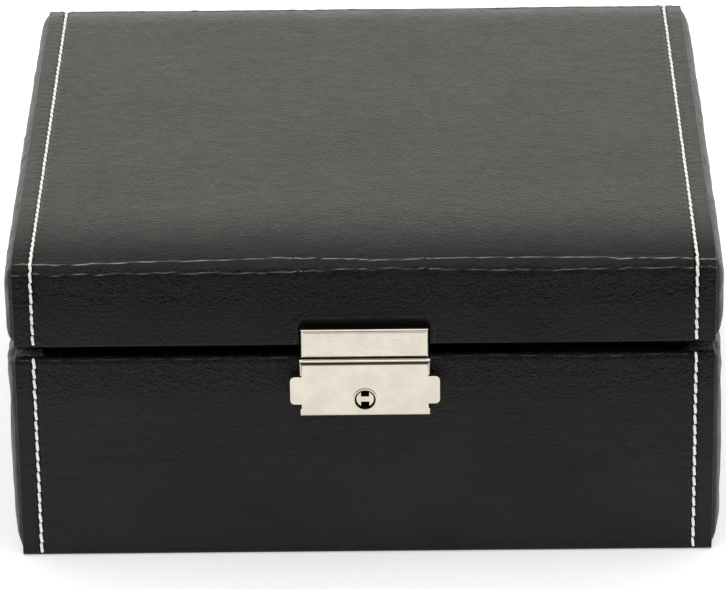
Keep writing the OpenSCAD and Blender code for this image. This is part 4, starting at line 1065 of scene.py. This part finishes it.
# The strike's polished face: a bevel all round that runs into the flat with a soft edge
STRIKE_BEVEL = 0.62 * MM
soft_edge = 0.5 * MM
steps = np.radians(np.linspace(0, 45, 7))
strike_profile = [(0.0, 3.0 * MM), (0.0, STRIKE_BEVEL + 0.08 * MM), (0.03 * MM, STRIKE_BEVEL)]
run = soft_edge / math.tan(math.pi / 8)
strike_profile += [(STRIKE_BEVEL + soft_edge - run * math.sin(a), run * (1 - math.cos(a)))
                   for a in reversed(steps)]
strike_front = Vector((0.01 * MM, 0.02 * MM, 0.01 * MM))
strike_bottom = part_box("lock_case")[1].z + 0.4 * MM
face_plate("strike_face", Vector((STRIKE_LOW.x, STRIKE_LOW.y, strike_bottom)) - strike_front,
           STRIKE_HIGH + strike_front, 0.5 * MM, strike_profile, "lid")

for node, bevel in (
    ("lock_case", 0.35), ("strike_plate", 0.33), ("left_push_tab", 0.4), ("right_push_tab", 0.4),
    ("keyhole_bush", 0.25), ("key_barrel", 0.12), ("locking_cam", 0.1), ("lock_back_plate", 0.15),
):
    look = KEYHOLE_LOOK if node in ("keyhole_bush", "key_barrel") else NICKEL_LOOK
    dressed(node, look, bevel * MM, segments=4 if node == "strike_plate" else 3)
for word in ("left", "right"):
    for node in (f"{word}_hinge_base_leaf", f"{word}_hinge_lid_leaf"):
        dressed(node, NICKEL_LOOK, 0.15 * MM)
for node, bevel in (
    ("front_liner", 0.5), ("back_liner", 0.5), ("left_liner", 0.5), ("right_liner", 0.5), ("lid_liner", 0.4),
    ("lower_long_divider", 0.6), ("lower_cross_dividers", 0.6), ("tray_frame", 0.8), ("tray_floor", 0.3),
    ("tray_long_divider", 0.7), ("tray_cross_dividers", 0.7), ("mirror_frame", 0.8),
):
    dressed(node, VELVET_LOOK, bevel * MM)
dressed("mirror", MIRROR_LOOK, 0.3 * MM, segments=1)

# Boards, pins and screws keep their CAD mesh
for node, obj in nodes.items():
    if node.endswith(("_board", "_pin", "_screws")):
        obj.data.materials.clear()
        obj.data.materials.append(BOARD_LOOK if node.endswith("_board") else STEEL_LOOK)

# The spring between the push tabs, in two halves, one on each tab's side
spring_low, spring_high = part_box("tab_spring")
spring_mid = (spring_low + spring_high) / 2
WIRE_R = 0.2 * MM
coil_r = (spring_high.z - spring_low.z) / 2 - WIRE_R
half_turns, turn_steps, wire_sides = 3.5, 24, 10
spring_run = spring_high.x - 2 * WIRE_R
for side, word in ((-1, "left"), (1, "right")):
    t = np.linspace(0, 1, int(half_turns * turn_steps) + 1)[:, None]
    around = np.linspace(0, 2 * math.pi, wire_sides, endpoint=False)[None, :]
    turn = 2 * math.pi * half_turns * t
    radius = coil_r + WIRE_R * np.cos(around)
    coil = np.stack([side * (WIRE_R + spring_run * t + WIRE_R * np.sin(around)),
                     spring_mid.y + radius * np.cos(turn), spring_mid.z + radius * np.sin(turn)], axis=2)
    spring = piece(f"tab_spring_{word}", coil.reshape(-1, 3), capped_tube(len(coil), wire_sides), "base",
                   STEEL_LOOK, ["tab_spring"])
    outward(spring)
    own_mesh(spring)


# ---------------------------------------------------------------- floor, light and camera

FLOOR_HALF = 2.5
FLOOR_DULL_Y, FLOOR_PALE_Y = -0.36, -0.29
FLOOR_GLOW = 0.36


def make_floor():
    """A pale floor, lit round the box and duller further in front of it."""
    corners = [(x * FLOOR_HALF, y * FLOOR_HALF, 0) for x, y in ((-1, -1), (1, -1), (1, 1), (-1, 1))]
    floor = bpy.data.meshes.new("floor")
    floor.from_pydata(corners, [], [(0, 1, 2, 3)])
    f = Finish("pale_floor", Roughness=0.9, Specular_IOR_Level=0.1)
    f.shader.inputs["Emission Color"].default_value = (1.0, 1.0, 1.0, 1.0)
    along = f.add("ShaderNodeSeparateXYZ", {"Vector": f.place}).outputs["Y"]
    lit = f.band(along, FLOOR_DULL_Y, FLOOR_PALE_Y)
    f.colour(f.blend(lit, (0.22, 0.22, 0.22), (0.94, 0.94, 0.94)))
    f.put(f.shader.inputs["Emission Strength"], f.math("MULTIPLY", lit, FLOOR_GLOW))
    floor.materials.append(f.material)
    obj = bpy.data.objects.new("floor", floor)
    bpy.context.scene.collection.objects.link(obj)


def make_sky():
    """Soft light, brightest overhead and low behind, with a dark band low in front."""
    world = bpy.data.worlds.new("studio")
    bpy.context.scene.world = world
    world.use_nodes = True
    background = world.node_tree.nodes["Background"]
    sky = Graph(world.node_tree)
    direction = sky.add("ShaderNodeTexCoord").outputs["Generated"]
    towards = sky.add("ShaderNodeSeparateXYZ", {"Vector": direction}).outputs
    in_front = sky.band(towards["Y"], -0.80, -0.45, 1.0, 0.0)
    low = sky.band(towards["Z"], 0.64, 0.86, 1.0, 0.0)
    dark = sky.math("MULTIPLY", in_front, low)
    behind = sky.band(towards["Y"], 0.6, 0.95)
    glow = sky.math("MULTIPLY", behind, sky.band(towards["Z"], 0.15, 0.55, 0.75, 0.10))
    above = sky.band(towards["Z"], 0.80, 0.93, 0.0, 0.45)
    level = sky.math("ADD", sky.math("ADD", sky.band(dark, 0.0, 1.0, 1.0, 0.05), glow), above)
    sky.put(background.inputs["Color"], sky.blend(behind, (1.0, 0.995, 0.985), (1.0, 0.985, 0.92)))
    sky.put(background.inputs["Strength"], level)


CAMERA_PLACE = (0.01246, -1.67207, 0.83729)
CAMERA_YAW, CAMERA_PITCH, CAMERA_ROLL = -0.47, 25.391, -0.768
LENS_MM, SENSOR_MM = 250.856, 36


def make_camera():
    """The camera that was fitted to the photograph's edges, from in front and above."""
    yaw, pitch, roll = (math.radians(a) for a in (CAMERA_YAW, CAMERA_PITCH, CAMERA_ROLL))
    forward = Vector((math.sin(yaw) * math.cos(pitch), math.cos(yaw) * math.cos(pitch), -math.sin(pitch)))
    level = Vector((math.cos(yaw), -math.sin(yaw), 0))
    upright = level.cross(forward)
    right = level * math.cos(roll) + upright * math.sin(roll)
    up = upright * math.cos(roll) - level * math.sin(roll)
    turn = Matrix((right, up, -forward)).transposed().to_4x4()
    camera = bpy.data.objects.new("camera", bpy.data.cameras.new("camera"))
    camera.data.lens = LENS_MM
    camera.data.sensor_width = SENSOR_MM
    camera.data.clip_end = 20
    camera.matrix_world = Matrix.Translation(CAMERA_PLACE) @ turn
    bpy.context.scene.collection.objects.link(camera)
    bpy.context.scene.camera = camera


make_floor()
make_sky()
make_camera()
bpy.context.scene.view_settings.view_transform = "Standard"
